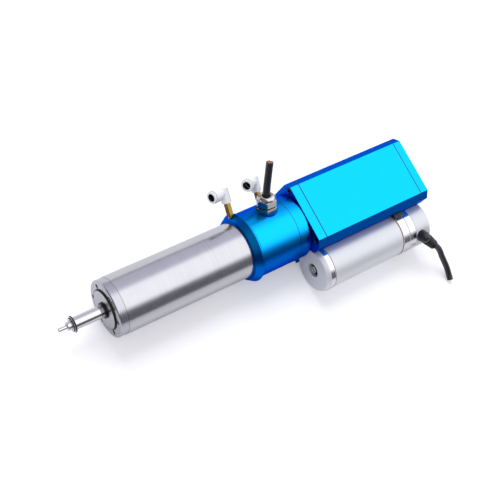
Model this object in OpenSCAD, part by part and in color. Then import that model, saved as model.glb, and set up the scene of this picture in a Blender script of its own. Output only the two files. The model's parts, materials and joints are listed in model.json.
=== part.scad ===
// Tool change spindle: a tubular high-speed motor spindle with a collet nose,
// a connection housing with air and cable entries, and a release drive behind it.
// X runs along the spindle axis towards the rear, Y to the far side and Z up.
// The origin is on the axis at the middle of the steel clamping sleeve.

/* [Clamping sleeve] */
// Outside diameter of the clamping sleeve
sleeve_d = 62; // [60:1:68]
// Length of the clamping sleeve
sleeve_len = 148; // [146:1:180]
// Wall of the sleeve around the motor
sleeve_wall = 5; // [4:0.5:6]

/* [Nose] */
// Thickness of the front cap
cap_len = 9.5; // [8:0.5:14]
// Diameter of the raised cover around the shaft
cover_d = 42; // [38:0.5:43]
// Height of the raised cover
cover_rise = 1.6; // [1:0.2:4]
// Number of screws in the front cap
nose_screw_count = 6; // [4:1:8]
// Circle on which the front cap screws sit
nose_screw_circle = 49; // [48.5:0.5:52]
// Diameter of the shaft in front of the cap
shaft_nose_d = 13; // [12:0.5:14]
// Distance from the front cap to the front end of the shaft
shaft_nose_len = 38; // [32:1:50]
// Diameter of the slinger disc
slinger_d = 17; // [16:0.5:22]
// Diameter of the collar in front of the cover
nose_collar_d = 17; // [15.5:0.5:20]
// Length of that collar
nose_collar_len = 1.6; // [1:0.2:4]

/* [Collet and drawbar] */
// Diameter of the gripped tool pin
tool_d = 4; // [2:0.5:5]
// Length of the tool pin
tool_len = 34; // [30:1:40]
// Length of the pin that stands out of the collet
tool_out = 9; // [6:1:14]
// Diameter of the collet's head
collet_head_d = 9; // [9:0.5:10]
// Length of the collet's head in front of the shaft
collet_head_len = 4.5; // [4:0.5:8]
// Diameter of the drawbar
drawbar_d = 5; // [4:0.5:6]
// Number of disc springs around the drawbar
spring_count = 14; // [8:1:18]

/* [Motor and bearings] */
// Diameter of the shaft inside the motor
shaft_d = 20; // [19:0.5:21]
// Outside diameter of the front bearings
front_bearing_d = 42; // [40:1:44]
// Width of one front bearing
front_bearing_w = 12; // [10:1:14]
// Outside diameter of the rear bearing
rear_bearing_d = 35; // [34:1:38]
// Width of the rear bearing
rear_bearing_w = 10; // [9:1:12]
// Length of the stator core
stator_len = 70; // [50:1:76]
// Gap between rotor and stator
air_gap = 0.5; // [0.4:0.1:1]

/* [Connection housing] */
// Height of the flange ring above the sleeve
ring_step = 7.4; // [6:0.2:8]
// Height of the ring's front rim above the sleeve
rim_step = 3; // [2:0.5:4]
// Length of the flange ring
ring_len = 9; // [7:1:12]
// Diameter of the connection housing
housing_d = 72; // [68:1:73]
// Length of the connection housing behind the ring
housing_len = 49; // [46:1:60]
// Length of the tail cover behind the housing
tail_len = 15; // [10:1:20]
// Rounding of the tail cover's rear edge
tail_round = 4; // [1:0.5:6]

/* [Cable gland] */
// Width of the gland's hexagons across the flats
gland_af = 20; // [19:1:22]
// Lean of the gland from straight up towards the far side
gland_lean = 38; // [34:1:40]
// Distance of the gland in front of the housing's rear end
gland_back = 19; // [18:0.5:26]
// Diameter of the spindle cable
cable_d = 7.8; // [7:0.2:8.4]

/* [Air elbows] */
// Outside diameter of the air tube that each elbow takes
air_tube_d = 8; // [6:0.5:8.5]
// Lean of both stems from straight up towards the far side
stem_lean = 63; // [62:1:70]
// Diameter of the brass stems inside the elbows
stem_d = 5.4; // [5:0.2:6]
// Width of the stems' hexagons across the flats
stem_af = 7; // [6.6:0.2:7.6]
// Height of the elbows' ports above the blue surface
elbow_height = 26.8; // [26:0.2:30]
// Length of each port from the stem
port_len = 16.5; // [16:0.5:20]
// Swivel of the front port, from straight ahead towards up
front_port_turn = 16; // [0:1:40]
// Swivel of the rear port, from straight ahead towards up
rear_port_turn = 34; // [0:1:40]
// Distance of the rear elbow in front of the housing's rear end
rear_elbow_back = 16; // [14:0.5:18]
// Distance of the front elbow in front of the ring's rear face
front_elbow_back = 5; // [4:0.5:5]

/* [Drive box] */
// Width of the box
box_w = 78; // [76:1:84]
// Height of the box's top above the spindle axis
box_top = 34.8; // [33:0.2:38]
// Depth of the box's bottom below the spindle axis
box_bottom = 33; // [31:1:36]
// Width of the top chamfers
chamfer_w = 7; // [4:0.5:9]
// Height of the top chamfers
chamfer_h = 8; // [4:0.5:9]
// Wall of the box
box_wall = 4; // [3:0.5:4.5]
// Length of the box between its end plates
shell_len = 135; // [130:1:150]
// Thickness of the front plate
front_plate_t = 10.5; // [8:0.5:14]
// Thickness of the rear plate
rear_plate_t = 9.7; // [8:0.1:14]
// Diameter of the plate screws' shanks
plate_screw_d = 4; // [3:0.5:4.5]

/* [Release actuator] */
// Diameter of the actuator's caps
actuator_d = 53; // [52:0.5:54]
// Step from the caps down to the tube
tube_step = 0.5; // [0.3:0.1:0.8]
// Wall of the actuator's tube
tube_wall = 2.5; // [2:0.25:3]
// Setback of the actuator's face from the front plate's face
actuator_setback = 2.5; // [0:0.5:5]
// Length of the actuator's front cap
actuator_cap_len = 11; // [10:0.5:14]
// Length of the taper at the front cap's edge
taper_len = 4.5; // [2:0.5:6]
// Depth of that taper
taper_depth = 2.2; // [1:0.2:3]
// Length of the actuator's rear cap
rear_cap_len = 21; // [18:1:26]
// Diameter of the recess in the front cap
recess_d = 16; // [12:1:20]
// Diameter of the actuator cable
actuator_cable_d = 7; // [6:0.5:8]

/* [Release gears] */
// Gear module
gear_module = 1; // [1]
// Teeth of the pinion on the actuator's shaft
pinion_teeth = 44; // [44]
// Teeth of the idler
idler_teeth = 22; // [22]
// Teeth of the gear around the push rod
drive_teeth = 36; // [36]
// Width of the teeth along the axis
gear_w = 8; // [6:0.5:8]
// Diameter of the push rod
push_rod_d = 12; // [10:0.5:13]

/* [Hidden] */
$fn = 64;

// Gaps
run_gap = 0.05;
free_gap = 0.3;
cut = 1;

// Stations along the axis
sleeve_front = -sleeve_len / 2;
sleeve_rear = sleeve_len / 2;
cap_front = sleeve_front - cap_len;
cover_front = cap_front - cover_rise;
ring_rear = sleeve_rear + ring_len;
housing_rear = ring_rear + housing_len;
tail_rear = housing_rear + tail_len;
shell_front = tail_rear + front_plate_t;
shell_rear = shell_front + shell_len;
box_rear = shell_rear + rear_plate_t;

// Sleeve and nose
sleeve_r = sleeve_d / 2;
sleeve_bore_r = sleeve_r - sleeve_wall;
front_seat_r = front_bearing_d / 2;
front_seat_rear = sleeve_front + 2 * front_bearing_w;
shoulder_len = 3;
shoulder_r = front_seat_r - 2.5;
spigot_len = 13;
cap_step = 0.4;
nose_screw_r = 1.25;
nose_head_r = 2.25;
nose_head_h = 2.5;
nose_screw_phase = 0.85;
nose_screw_len = 16;
hex_key_share = 0.5;
cover_spigot_len = 4;
cover_spigot_r = 14;

// Shaft
shaft_r = shaft_d / 2;
nose_r = shaft_nose_d / 2;
shaft_front = cap_front - shaft_nose_len;
lip_len = 1.2;
lip_r = nose_r + 0.25;
slinger_t = 1.6;
collar_bevel = 0.4;
shoulder_front = cap_front + cover_spigot_len + free_gap;
rear_seat_rear = sleeve_rear - 2;
rear_seat_front = rear_seat_rear - rear_bearing_w;
rear_journal_front = rear_seat_front - 3;
rear_journal_r = shaft_r - 1.5;
thread_r = rear_journal_r - 0.5;
lock_nut_len = 6;
shaft_rear = sleeve_rear + lock_nut_len;
chamber_rear = shaft_rear - 10;
spring_front = -20;
spring_pitch = 4;
spring_t = 1.2;
spring_outer_r = 6;
spring_rear = spring_front + spring_count * spring_pitch;
chamber_r = spring_outer_r + free_gap;
drawbar_r = drawbar_d / 2;
drawbar_bore_r = drawbar_r + free_gap;
spring_head_len = 4;
drawbar_rear = shaft_rear + 8;
collet_head_r = collet_head_d / 2;
collet_front = shaft_front - collet_head_len;
collet_neck_r = 3.6;
collet_cone_len = 6;
collet_rear = cap_front - 6;
collet_thread_len = 8;
collet_slit = 0.6;
collet_slit_len = 16;
drawbar_tail_r = drawbar_r - 0.8;
tool_r = tool_d / 2;
tool_front = collet_front - tool_out;
tool_rear = tool_front + tool_len;
release_travel = 3;

// Rolling bearings
front_ball_r = 3.4;
front_pitch_r = (shaft_r + front_seat_r) / 2;
front_ball_count = 11;
rear_ball_r = 2.8;
rear_pitch_r = (rear_journal_r + rear_bearing_d / 2) / 2;
rear_ball_count = 10;
ring_clear = 2;
cage_wall = 0.9;

// Motor
stator_middle = (front_seat_rear + shoulder_len + sleeve_rear - spigot_len) / 2;
stator_front = stator_middle - stator_len / 2;
stator_rear = stator_front + stator_len;
stator_bore_r = 15;
slot_count = 12;
slot_w = 3.6;
winding_len = 10;
rotor_r = stator_bore_r - air_gap;

// Connection housing
ring_r = sleeve_r + ring_step;
rim_r = sleeve_r + rim_step;
ring_land = 1;
ring_bevel = 1;
housing_r = housing_d / 2;
cavity_r = 22;
cavity_front = ring_rear + 2;
web_r = 14;
tail_bore_r = push_rod_d / 2 + run_gap;
tail_spigot_len = 3;

// Cable gland
gland_x = housing_rear - gland_back;
gland_r = gland_af / 2 / cos(30);
gland_boss_r = gland_r + 0.4;
gland_seat = housing_r + 0.3;
gland_thread_r = 8;
gland_thread_len = 10;
gland_hex_top = gland_seat + 5.5;
gland_nut_bottom = gland_hex_top + 1.5;
gland_nut_top = gland_nut_bottom + 6.5;
gland_dome_top = gland_nut_top + 4.5;
gland_dome_r = gland_af / 2 - 1;
cable_r = cable_d / 2;
seal_wall = 1;
cable_root = gland_seat - gland_thread_len + 2;
cable_points = [[0, 0, 0], [0, 0, 14], [0, 0, 26], [1, 0, 36], [2.4, 0, 46], [3.8, 0, 56], [5, 0, 64]];

// Air elbows
front_elbow_x = ring_rear - front_elbow_back;
rear_elbow_x = housing_rear - rear_elbow_back;
stem_r = stem_d / 2;
stem_bore_r = 1.4;
stem_hex_r = stem_af / 2 / cos(30);
stem_depth = 6;
stem_top_drop = 4;
stem_seat_depth = 1.2;
front_stem_seat = ring_r - stem_seat_depth;
elbow_drop = 12;
elbow_barrel_r = 5.4;
elbow_crown = 3.8;
elbow_bevel = 1.6;
elbow_bore_r = 1.1;
port_neck_r = 4.9;
tube_seat_r = air_tube_d / 2 + 0.05;
tube_seat_len = 4;
collar_bore_r = air_tube_d / 2 + 0.3;
collar_r = collar_bore_r + 1.2;
collar_flange_r = collar_r + 0.9;
collar_flange_t = 1.4;
port_r = collar_flange_r + 0.8;
mouth_len = 9;
collar_stroke = 1;
collar_len = 5;

// Drive box
box_half = box_w / 2;
actuator_r = actuator_d / 2;
saddle_gap = 0.3;
saddle_r = actuator_r + saddle_gap;
plate_screw_y = box_half - chamfer_w - 1.5;
plate_screw_top = box_top - 6;
plate_screw_bottom = -(box_bottom - 6);
plate_head_r = plate_screw_d * 0.875;
plate_head_h = plate_screw_d;
plate_head_depth = plate_head_h + 0.3;
plate_screw_len = 18;
screw_shift = 20;
bottom_bevel = 4;
screw_post_r = 5;

// Release actuator, beside the box and resting level with the flange ring
pinion_to_idler = gear_module * (pinion_teeth + idler_teeth) / 2;
idler_to_drive = gear_module * (idler_teeth + drive_teeth) / 2;
actuator_offset = 54;
actuator_z = actuator_r - ring_r;
actuator_y = -sqrt(actuator_offset * actuator_offset - actuator_z * actuator_z);
to_actuator = 180 + atan2(-actuator_z, -actuator_y);
idler_rise = acos((pow(idler_to_drive, 2) + pow(actuator_offset, 2) - pow(pinion_to_idler, 2))
                  / (2 * idler_to_drive * actuator_offset));
to_idler = to_actuator - idler_rise;
idler_y = idler_to_drive * cos(to_idler);
idler_z = idler_to_drive * sin(to_idler);
idler_to_pinion = atan2(actuator_z - idler_z, actuator_y - idler_y);
idler_phase = to_idler + 180 + 180 / idler_teeth;
mesh_shift = (idler_to_pinion - idler_phase) * idler_teeth / 360;
pinion_phase = idler_to_pinion + 180 + (0.5 + mesh_shift) * 360 / pinion_teeth;
actuator_front = tail_rear + actuator_setback;
seal_t = 0.8;
tube_r = actuator_r - tube_step;
tube_bore_r = tube_r - tube_wall;
tube_front = actuator_front + actuator_cap_len + seal_t;
gear_margin = 0.75;
band_back = 24;
band_len = gear_w + 2 * gear_margin;
band_front = shell_rear - band_len - band_back;
band_rear = band_front + band_len;
gear_front = band_front + gear_margin;
rear_band_rear = band_rear + band_len;
actuator_rear = rear_band_rear + rear_cap_len;
band_bore_r = gear_module * (pinion_teeth / 2 + 1) + 0.8;
window_r = gear_module * (idler_teeth / 2 + 1) + 1;
recess_depth = 5;
arm_r = 4;
arm_bore_r = arm_r + run_gap;
cap_bevel = 1.2;
spigot_t = 3;
magnet_t = 4.5;
magnet_r = tube_bore_r;
magnet_inset = 20;
magnet_back = 26;
magnet_gap = 10;
core_r = magnet_r - magnet_t - 0.5;
core_slots = 12;
commutator_r = 9;
commutator_len = 9;
commutator_front = band_front - 20;
brush_len = 7;
brush_w = 5;

// Release screw
rod_r = push_rod_d / 2;
rod_front = drawbar_rear + free_gap;
hub_r = rod_r + 4;
carrier_t = 10;
carrier_rear = gear_front - 4;
carrier_front = carrier_rear - carrier_t;
hub_rear = shell_rear - 4;
rod_rear = hub_rear - 5;
key_w = 3;
key_depth = 1.5;
key_front = tail_rear + 2;
key_len = 7;
idler_pin_r = 2.5;
pin_seat = 6;
clip_t = gear_margin - 0.2;
sensor_back = 44;
sensor_x = shell_front + sensor_back;
board_len = 36;
board_w = 32;
board_t = 1.6;
board_gap = 3;
sensor_collar_r = 9;
sensor_collar_len = 5;

// Strain relief and actuator cable
relief_lean = 48;
relief_r = 6.9;
relief_x = rear_band_rear + relief_r + 0.2;
relief_h = 7;
relief_tail_len = 18;
relief_turn = 41.5;
relief_seat = 0.8;
relief_ball_r = 6.2;
relief_tail_drop = 2;
actuator_cable_r = actuator_cable_d / 2;
actuator_cable_points = [
    [292.4, -81.6, 3.1], [297, -85.1, -0.8], [301.2, -88.2, -3.6], [305.3, -91.4, -6.5],
    [308.9, -96.4, -10.9], [311.2, -101.6, -15.7], [314, -106.9, -20.4], [316.6, -112.3, -24.8],
    [318.4, -117.8, -28.8], [319.2, -123, -31.9], [319.2, -127.3, -33.7], [318.8, -130.6, -34.7]
];

// Places children on the spindle axis, drawn in the YZ plane and extruded along X
module on_axis(x, y = 0, z = 0) {
    translate([x, y, z]) rotate([90, 0, 90]) children();
}

// A ring or disc along the axis
module ring(x, len, outer, inner = 0, y = 0, z = 0) {
    on_axis(x, y, z) difference() {
        cylinder(r = outer, h = len);
        if (inner > 0) translate([0, 0, -cut]) cylinder(r = inner, h = len + 2 * cut);
    }
}

// A turned piece from a closed outline of [radius, station] points
module turned(outline, y = 0, z = 0) {
    on_axis(0, y, z) rotate_extrude() polygon(outline);
}

// A socket head screw whose head's underside is at the origin, head towards +Z
module socket_screw(shank_r, shank_len, head_r, head_h) {
    difference() {
        union() {
            translate([0, 0, -shank_len]) cylinder(r = shank_r, h = shank_len);
            cylinder(r = head_r, h = head_h);
        }
        translate([0, 0, head_h * hex_key_share]) cylinder(r = head_r * 0.55, h = head_h, $fn = 6);
    }
}

// Front cap
module front_cap() {
    cap_r = sleeve_r - cap_step;
    color([0.72, 0.73, 0.75]) difference() {
        turned([[cover_spigot_r, cap_front], [cap_r - 1, cap_front], [cap_r, cap_front + 1],
                [cap_r, sleeve_front], [cover_spigot_r, sleeve_front]]);
        for (i = [0:nose_screw_count - 1]) nose_screw_place(i) {
            translate([0, 0, -nose_head_h]) cylinder(r = nose_head_r + 0.25, h = nose_head_h + cut);
            translate([0, 0, -nose_screw_len]) cylinder(r = nose_screw_r, h = nose_screw_len);
        }
    }
}

// Puts children at one front cap screw, +Z pointing out of the nose
module nose_screw_place(i) {
    rotate([(i + nose_screw_phase) * 360 / nose_screw_count, 0, 0])
        translate([cap_front, 0, nose_screw_circle / 2]) rotate([0, -90, 0]) children();
}

// Raised cover around the shaft
module nose_cover() {
    color([0.78, 0.79, 0.81])
        turned([[nose_r + free_gap, cover_front], [cover_d / 2 - 0.6, cover_front],
                [cover_d / 2, cover_front + 0.6], [cover_d / 2, cap_front],
                [cover_spigot_r, cap_front], [cover_spigot_r, cap_front + cover_spigot_len],
                [nose_r + free_gap, cap_front + cover_spigot_len]]);
}

// Socket screws of the front cap
module nose_screws() {
    color([0.55, 0.56, 0.58]) for (i = [0:nose_screw_count - 1]) nose_screw_place(i)
        translate([0, 0, -nose_head_h])
            socket_screw(nose_screw_r, nose_screw_len - nose_head_h, nose_head_r, nose_head_h - 0.4);
}

// Steel clamping sleeve with the front bearing seat
module clamp_sleeve() {
    color([0.74, 0.75, 0.77]) difference() {
        turned([[front_seat_r, sleeve_front], [sleeve_r, sleeve_front], [sleeve_r, sleeve_rear],
                [sleeve_bore_r, sleeve_rear], [sleeve_bore_r, front_seat_rear + shoulder_len],
                [shoulder_r, front_seat_rear + shoulder_len], [shoulder_r, front_seat_rear],
                [front_seat_r, front_seat_rear]]);
        for (i = [0:nose_screw_count - 1]) nose_screw_place(i)
            translate([0, 0, -nose_screw_len]) cylinder(r = nose_screw_r, h = nose_screw_len);
    }
}

// Half of a ball bearing's rings: a ring with a ball groove
module grooved_ring(x, w, outer, inner, pitch_r, ball_r) {
    on_axis(x) rotate_extrude() difference() {
        translate([inner, 0]) square([outer - inner, w]);
        translate([pitch_r, w / 2]) circle(r = ball_r + 0.1, $fn = 48);
    }
}

// Outer rings of the two front bearings and the rear one
module bearing_outer_rings() {
    color([0.6, 0.61, 0.63]) {
        for (i = [0, 1]) grooved_ring(sleeve_front + i * front_bearing_w + 0.1, front_bearing_w - 0.2,
            front_seat_r, front_pitch_r + ring_clear, front_pitch_r, front_ball_r);
        grooved_ring(rear_seat_front, rear_bearing_w, rear_bearing_d / 2,
            rear_pitch_r + ring_clear * 0.8, rear_pitch_r, rear_ball_r);
    }
}

// Inner rings of the two front bearings and the rear one
module bearing_inner_rings() {
    color([0.66, 0.67, 0.69]) {
        for (i = [0, 1]) grooved_ring(sleeve_front + i * front_bearing_w + 0.1, front_bearing_w - 0.2,
            front_pitch_r - ring_clear, shaft_r, front_pitch_r, front_ball_r);
        grooved_ring(rear_seat_front, rear_bearing_w,
            rear_pitch_r - ring_clear * 0.8, rear_journal_r, rear_pitch_r, rear_ball_r);
    }
}

// One row of balls about the axis
module ball_row(x, pitch_r, ball_r, count) {
    for (i = [0:count - 1]) translate([x, 0, 0]) rotate([i * 360 / count, 0, 0])
        translate([0, 0, pitch_r]) sphere(r = ball_r, $fn = 32);
}

// Balls of the three bearings
module bearing_balls() {
    color([0.85, 0.85, 0.87]) {
        for (i = [0, 1]) ball_row(sleeve_front + (i + 0.5) * front_bearing_w,
            front_pitch_r, front_ball_r, front_ball_count);
        ball_row(rear_seat_front + rear_bearing_w / 2, rear_pitch_r, rear_ball_r, rear_ball_count);
    }
}

// One cage: a thin ring with a pocket for each ball
module cage(x, pitch_r, ball_r, count) {
    half_w = ball_r + cage_wall;
    difference() {
        ring(x - half_w, 2 * half_w, pitch_r + cage_wall, pitch_r - cage_wall);
        ball_row(x, pitch_r, ball_r + 0.15, count);
    }
}

// Cages of the three bearings
module bearing_cages() {
    color([0.55, 0.4, 0.25]) {
        for (i = [0, 1]) cage(sleeve_front + (i + 0.5) * front_bearing_w,
            front_pitch_r, front_ball_r, front_ball_count);
        cage(rear_seat_front + rear_bearing_w / 2, rear_pitch_r, rear_ball_r, rear_ball_count);
    }
}

// Laminated stator core with winding slots
module stator_core() {
    color([0.35, 0.36, 0.38]) difference() {
        ring(stator_front, stator_len, sleeve_bore_r, stator_bore_r);
        stator_slots(0);
    }
}

// Slots of the stator, or the coil sides that fill them when shrunk
module stator_slots(shrink) {
    slot_depth = (sleeve_bore_r - stator_bore_r) * 0.55;
    for (i = [0:slot_count - 1]) rotate([(i + 0.5) * 360 / slot_count, 0, 0])
        translate([stator_front - cut + shrink, -slot_w / 2 + shrink, stator_bore_r + 1.5 + shrink])
            cube([stator_len + 2 * cut - 2 * shrink, slot_w - 2 * shrink, slot_depth - 2 * shrink]);
}

// Stator coils: the two end turns and the coil sides between them
module stator_windings() {
    color([0.72, 0.4, 0.2]) {
        end_r = sleeve_bore_r - 1.5;
        ring(stator_front - winding_len, winding_len, end_r, stator_bore_r + 1);
        ring(stator_rear, winding_len, end_r, stator_bore_r + 1);
        stator_slots(0.2);
    }
}

// Rotor core on the shaft
module rotor_core() {
    color([0.3, 0.31, 0.33]) ring(stator_front, stator_len, rotor_r, shaft_r);
}

// Spindle shaft, bored for the collet, the drawbar and its springs
module spindle_shaft() {
    mouth_r = collet_neck_r + free_gap + 1.1;
    color([0.7, 0.71, 0.73]) turned([
        [mouth_r, shaft_front], [lip_r - 0.4, shaft_front], [lip_r, shaft_front + 0.4],
        [lip_r, shaft_front + lip_len], [nose_r, shaft_front + lip_len],
        [nose_r, shoulder_front], [shaft_r, shoulder_front], [shaft_r, rear_journal_front],
        [rear_journal_r, rear_journal_front], [rear_journal_r, rear_seat_rear],
        [thread_r, rear_seat_rear], [thread_r, shaft_rear],
        [drawbar_bore_r, shaft_rear], [drawbar_bore_r, chamber_rear],
        [chamber_r, chamber_rear], [chamber_r, spring_front], [drawbar_bore_r, spring_front],
        [drawbar_bore_r, collet_rear + free_gap + 1],
        [collet_neck_r + free_gap, collet_rear + free_gap + 1],
        [collet_neck_r + free_gap, shaft_front + collet_cone_len]]);
}

// Slinger disc on the shaft
module slinger_disc() {
    color([0.8, 0.81, 0.83]) ring(shaft_front + lip_len, slinger_t, slinger_d / 2, nose_r);
}

// Collar in front of the cover
module nose_collar() {
    collar_rear = cover_front - free_gap;
    color([0.2, 0.2, 0.22]) turned([
        [nose_r, collar_rear - nose_collar_len],
        [nose_collar_d / 2 - collar_bevel, collar_rear - nose_collar_len],
        [nose_collar_d / 2, collar_rear - nose_collar_len + collar_bevel], [nose_collar_d / 2, collar_rear],
        [nose_r, collar_rear]]);
}

// Lock nut that holds the rear bearing
module lock_nut() {
    color([0.45, 0.46, 0.48]) difference() {
        ring(rear_seat_rear, lock_nut_len, rear_pitch_r - ring_clear, thread_r);
        for (i = [0:3]) rotate([i * 90, 0, 0])
            translate([rear_seat_rear - cut, -1.5, rear_pitch_r - ring_clear - 1.5])
                cube([lock_nut_len + 2 * cut, 3, 3]);
    }
}

// Slotted collet with its threaded tail
module collet() {
    cone_rear = shaft_front + collet_cone_len;
    color([0.62, 0.63, 0.65]) difference() {
        turned([[tool_r + run_gap, collet_front], [collet_head_r - 0.6, collet_front],
                [collet_head_r, collet_front + 0.6], [collet_head_r, shaft_front - free_gap],
                [collet_neck_r + 1.1, shaft_front - free_gap],
                [collet_neck_r, cone_rear - 0.5],
                [collet_neck_r, collet_rear], [drawbar_tail_r, collet_rear],
                [drawbar_tail_r, collet_rear - collet_thread_len],
                [tool_r + run_gap, collet_rear - collet_thread_len]]);
        for (i = [0:2]) rotate([i * 120 + 30, 0, 0])
            translate([collet_front - cut, -collet_slit / 2, 0])
                cube([collet_slit_len + cut, collet_slit, collet_head_r + cut]);
    }
}

// Drawbar with the head that the springs push on
module drawbar() {
    head_front = spring_rear;
    color([0.52, 0.53, 0.55]) turned([
        [0, collet_rear - collet_thread_len + 1], [drawbar_tail_r, collet_rear - collet_thread_len + 1],
        [drawbar_tail_r, collet_rear], [drawbar_r, collet_rear], [drawbar_r, head_front],
        [spring_outer_r, head_front], [spring_outer_r, head_front + spring_head_len],
        [drawbar_r, head_front + spring_head_len], [drawbar_r, drawbar_rear], [0, drawbar_rear]]);
}

// Disc springs, stacked in turn about the drawbar
module disc_springs() {
    inner_r = drawbar_r + 0.2;
    color([0.4, 0.42, 0.46]) for (i = [0:spring_count - 1]) {
        x = spring_front + i * spring_pitch + 0.05;
        lift = spring_pitch - spring_t - 0.1;
        lean = i % 2 == 0 ? [0, lift] : [lift, 0];
        turned([[inner_r, x + lean[0]], [spring_outer_r, x + lean[1]],
                [spring_outer_r, x + lean[1] + spring_t], [inner_r, x + lean[0] + spring_t]]);
    }
}

// Tool pin held in the collet
module tool_pin() {
    color([0.75, 0.76, 0.78]) turned([
        [0, tool_front], [tool_r - 0.5, tool_front], [tool_r, tool_front + 0.5],
        [tool_r, tool_rear], [0, tool_rear]]);
}

// Turned body of the connection housing, with its coned flange ring and rear bearing seat
module housing_body() {
    turned([
        [rear_bearing_d / 2, rear_seat_front], [rear_bearing_d / 2, rear_seat_rear],
        [web_r, rear_seat_rear], [web_r, cavity_front], [cavity_r, cavity_front],
        [cavity_r, housing_rear], [housing_r, housing_rear], [housing_r, ring_rear],
        [ring_r - ring_bevel, ring_rear], [ring_r, ring_rear - ring_bevel],
        [ring_r, ring_rear - ring_bevel - ring_land], [rim_r, sleeve_rear], [sleeve_bore_r, sleeve_rear],
        [sleeve_bore_r, sleeve_rear - spigot_len], [web_r + 2, sleeve_rear - spigot_len],
        [web_r + 2, rear_seat_front]]);
}

// Blue connection housing with the gland's boss and the entries
module connection_housing() {
    color([0.05, 0.45, 0.9]) difference() {
        union() {
            housing_body();
            gland_place() translate([0, 0, cavity_r + 4])
                cylinder(r = gland_boss_r, h = gland_seat - cavity_r - 4);
        }
        gland_place() cylinder(r = gland_thread_r, h = gland_seat + cut);
        stem_place(front_elbow_x) {
            translate([0, 0, web_r + 1]) cylinder(r = stem_bore_r, h = ring_r);
            translate([0, 0, front_stem_seat - stem_depth]) cylinder(r = stem_r, h = stem_depth + cut);
            translate([0, 0, front_stem_seat]) cylinder(r = stem_hex_r + free_gap, h = ring_step);
        }
        stem_place(rear_elbow_x) cylinder(r = stem_r, h = housing_r + 2);
    }
}

// Tail cover with its rounded rear edge, which guides the push rod
module tail_cover() {
    color([0.05, 0.45, 0.9]) on_axis(0) rotate_extrude() difference() {
        union() {
            translate([tail_bore_r, housing_rear]) square([housing_r - tail_bore_r - tail_round, tail_len]);
            translate([housing_r - tail_round, housing_rear]) square([tail_round, tail_len - tail_round]);
            translate([housing_r - tail_round, tail_rear - tail_round]) circle(r = tail_round, $fn = 48);
            translate([tail_bore_r, housing_rear - tail_spigot_len])
                square([cavity_r - tail_bore_r, tail_spigot_len + cut]);
        }
        translate([tail_bore_r + 3, housing_rear - tail_spigot_len - cut])
            square([cavity_r - tail_bore_r - 6, tail_len - 2]);
    }
}

// Puts children at the gland, +Z along it, distances counted from the spindle axis
module gland_place() {
    translate([gland_x, 0, 0]) rotate([-gland_lean, 0, 0]) children();
}

// Gland body: hexagon and threaded ends
module gland_body() {
    color([0.75, 0.74, 0.7]) gland_place() difference() {
        union() {
            translate([0, 0, gland_seat - gland_thread_len])
                cylinder(r = gland_thread_r, h = gland_nut_top - 1 - gland_seat + gland_thread_len);
            translate([0, 0, gland_seat]) cylinder(r = gland_r, h = gland_hex_top - gland_seat, $fn = 6);
        }
        translate([0, 0, gland_seat - gland_thread_len - cut])
            cylinder(r = cable_r + seal_wall, h = gland_nut_top - gland_seat + gland_thread_len + 2 * cut);
    }
}

// Rubber seal that the nut presses round the cable
module gland_seal() {
    seal_len = gland_dome_top - gland_hex_top - 0.6;
    color([0.1, 0.1, 0.11]) gland_place() translate([0, 0, gland_hex_top]) difference() {
        cylinder(r = cable_r + seal_wall, h = seal_len);
        translate([0, 0, -cut]) cylinder(r = cable_r, h = seal_len + 2 * cut);
    }
}

// Domed gland nut
module gland_nut() {
    color([0.78, 0.77, 0.73]) gland_place() difference() {
        union() {
            translate([0, 0, gland_nut_bottom])
                cylinder(r = gland_r, h = gland_nut_top - gland_nut_bottom, $fn = 6);
            translate([0, 0, gland_nut_top])
                cylinder(r1 = gland_af / 2, r2 = gland_dome_r, h = gland_dome_top - gland_nut_top);
        }
        translate([0, 0, gland_nut_bottom - cut])
            cylinder(r = gland_thread_r, h = gland_nut_top - 1 - gland_nut_bottom + cut);
        translate([0, 0, gland_nut_bottom]) cylinder(r = cable_r + seal_wall, h = gland_af);
    }
}

// Unit vector
function unit(v) = v / norm(v);

// Direction of a route at one of its points
function heading(route, i) = unit(
    route[min(i + 1, len(route) - 1)] - route[max(i - 1, 0)]);

// One point of a curve through four neighbours of a route
function blend(a, b, c, d, t) = 0.5 * (2 * b + (c - a) * t + (2 * a - 5 * b + 4 * c - d) * t * t
    + (3 * b - a - 3 * c + d) * t * t * t);

// A route with extra points between the chosen ones
function smooth_route(points, steps) = [
    for (i = [0:len(points) - 2]) for (k = [0:steps - 1])
        blend(points[max(i - 1, 0)], points[i], points[i + 1],
              points[min(i + 2, len(points) - 1)], k / steps),
    points[len(points) - 1]
];

// A cord's tube swept along a route
module cord(points, r, steps, sides = 10) {
    route = smooth_route(points, steps);
    count = len(route);
    rings = [for (i = [0:count - 1])
        let (d = heading(route, i), s = unit(cross(d, [1, 0.2, 0.1])), t = cross(s, d))
        for (k = [0:sides - 1]) route[i] + r * (cos(360 * k / sides) * s + sin(360 * k / sides) * t)];
    walls = [for (i = [0:count - 2]) for (k = [0:sides - 1])
        [i * sides + k, i * sides + (k + 1) % sides,
         (i + 1) * sides + (k + 1) % sides, (i + 1) * sides + k]];
    first = [for (k = [sides - 1:-1:0]) k];
    last = [for (k = [0:sides - 1]) (count - 1) * sides + k];
    polyhedron(rings, concat([first], walls, [last]));
}

// Spindle cable, from inside the gland to its cut end
module spindle_cable() {
    color([0.08, 0.08, 0.09]) gland_place() translate([0, 0, cable_root])
        cord(cable_points, cable_r - 0.02, 1);
}

// Puts children at an air stem, +Z along it, distances counted from the spindle axis
module stem_place(x) {
    translate([x, 0, 0]) rotate([-stem_lean, 0, 0]) children();
}

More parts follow.
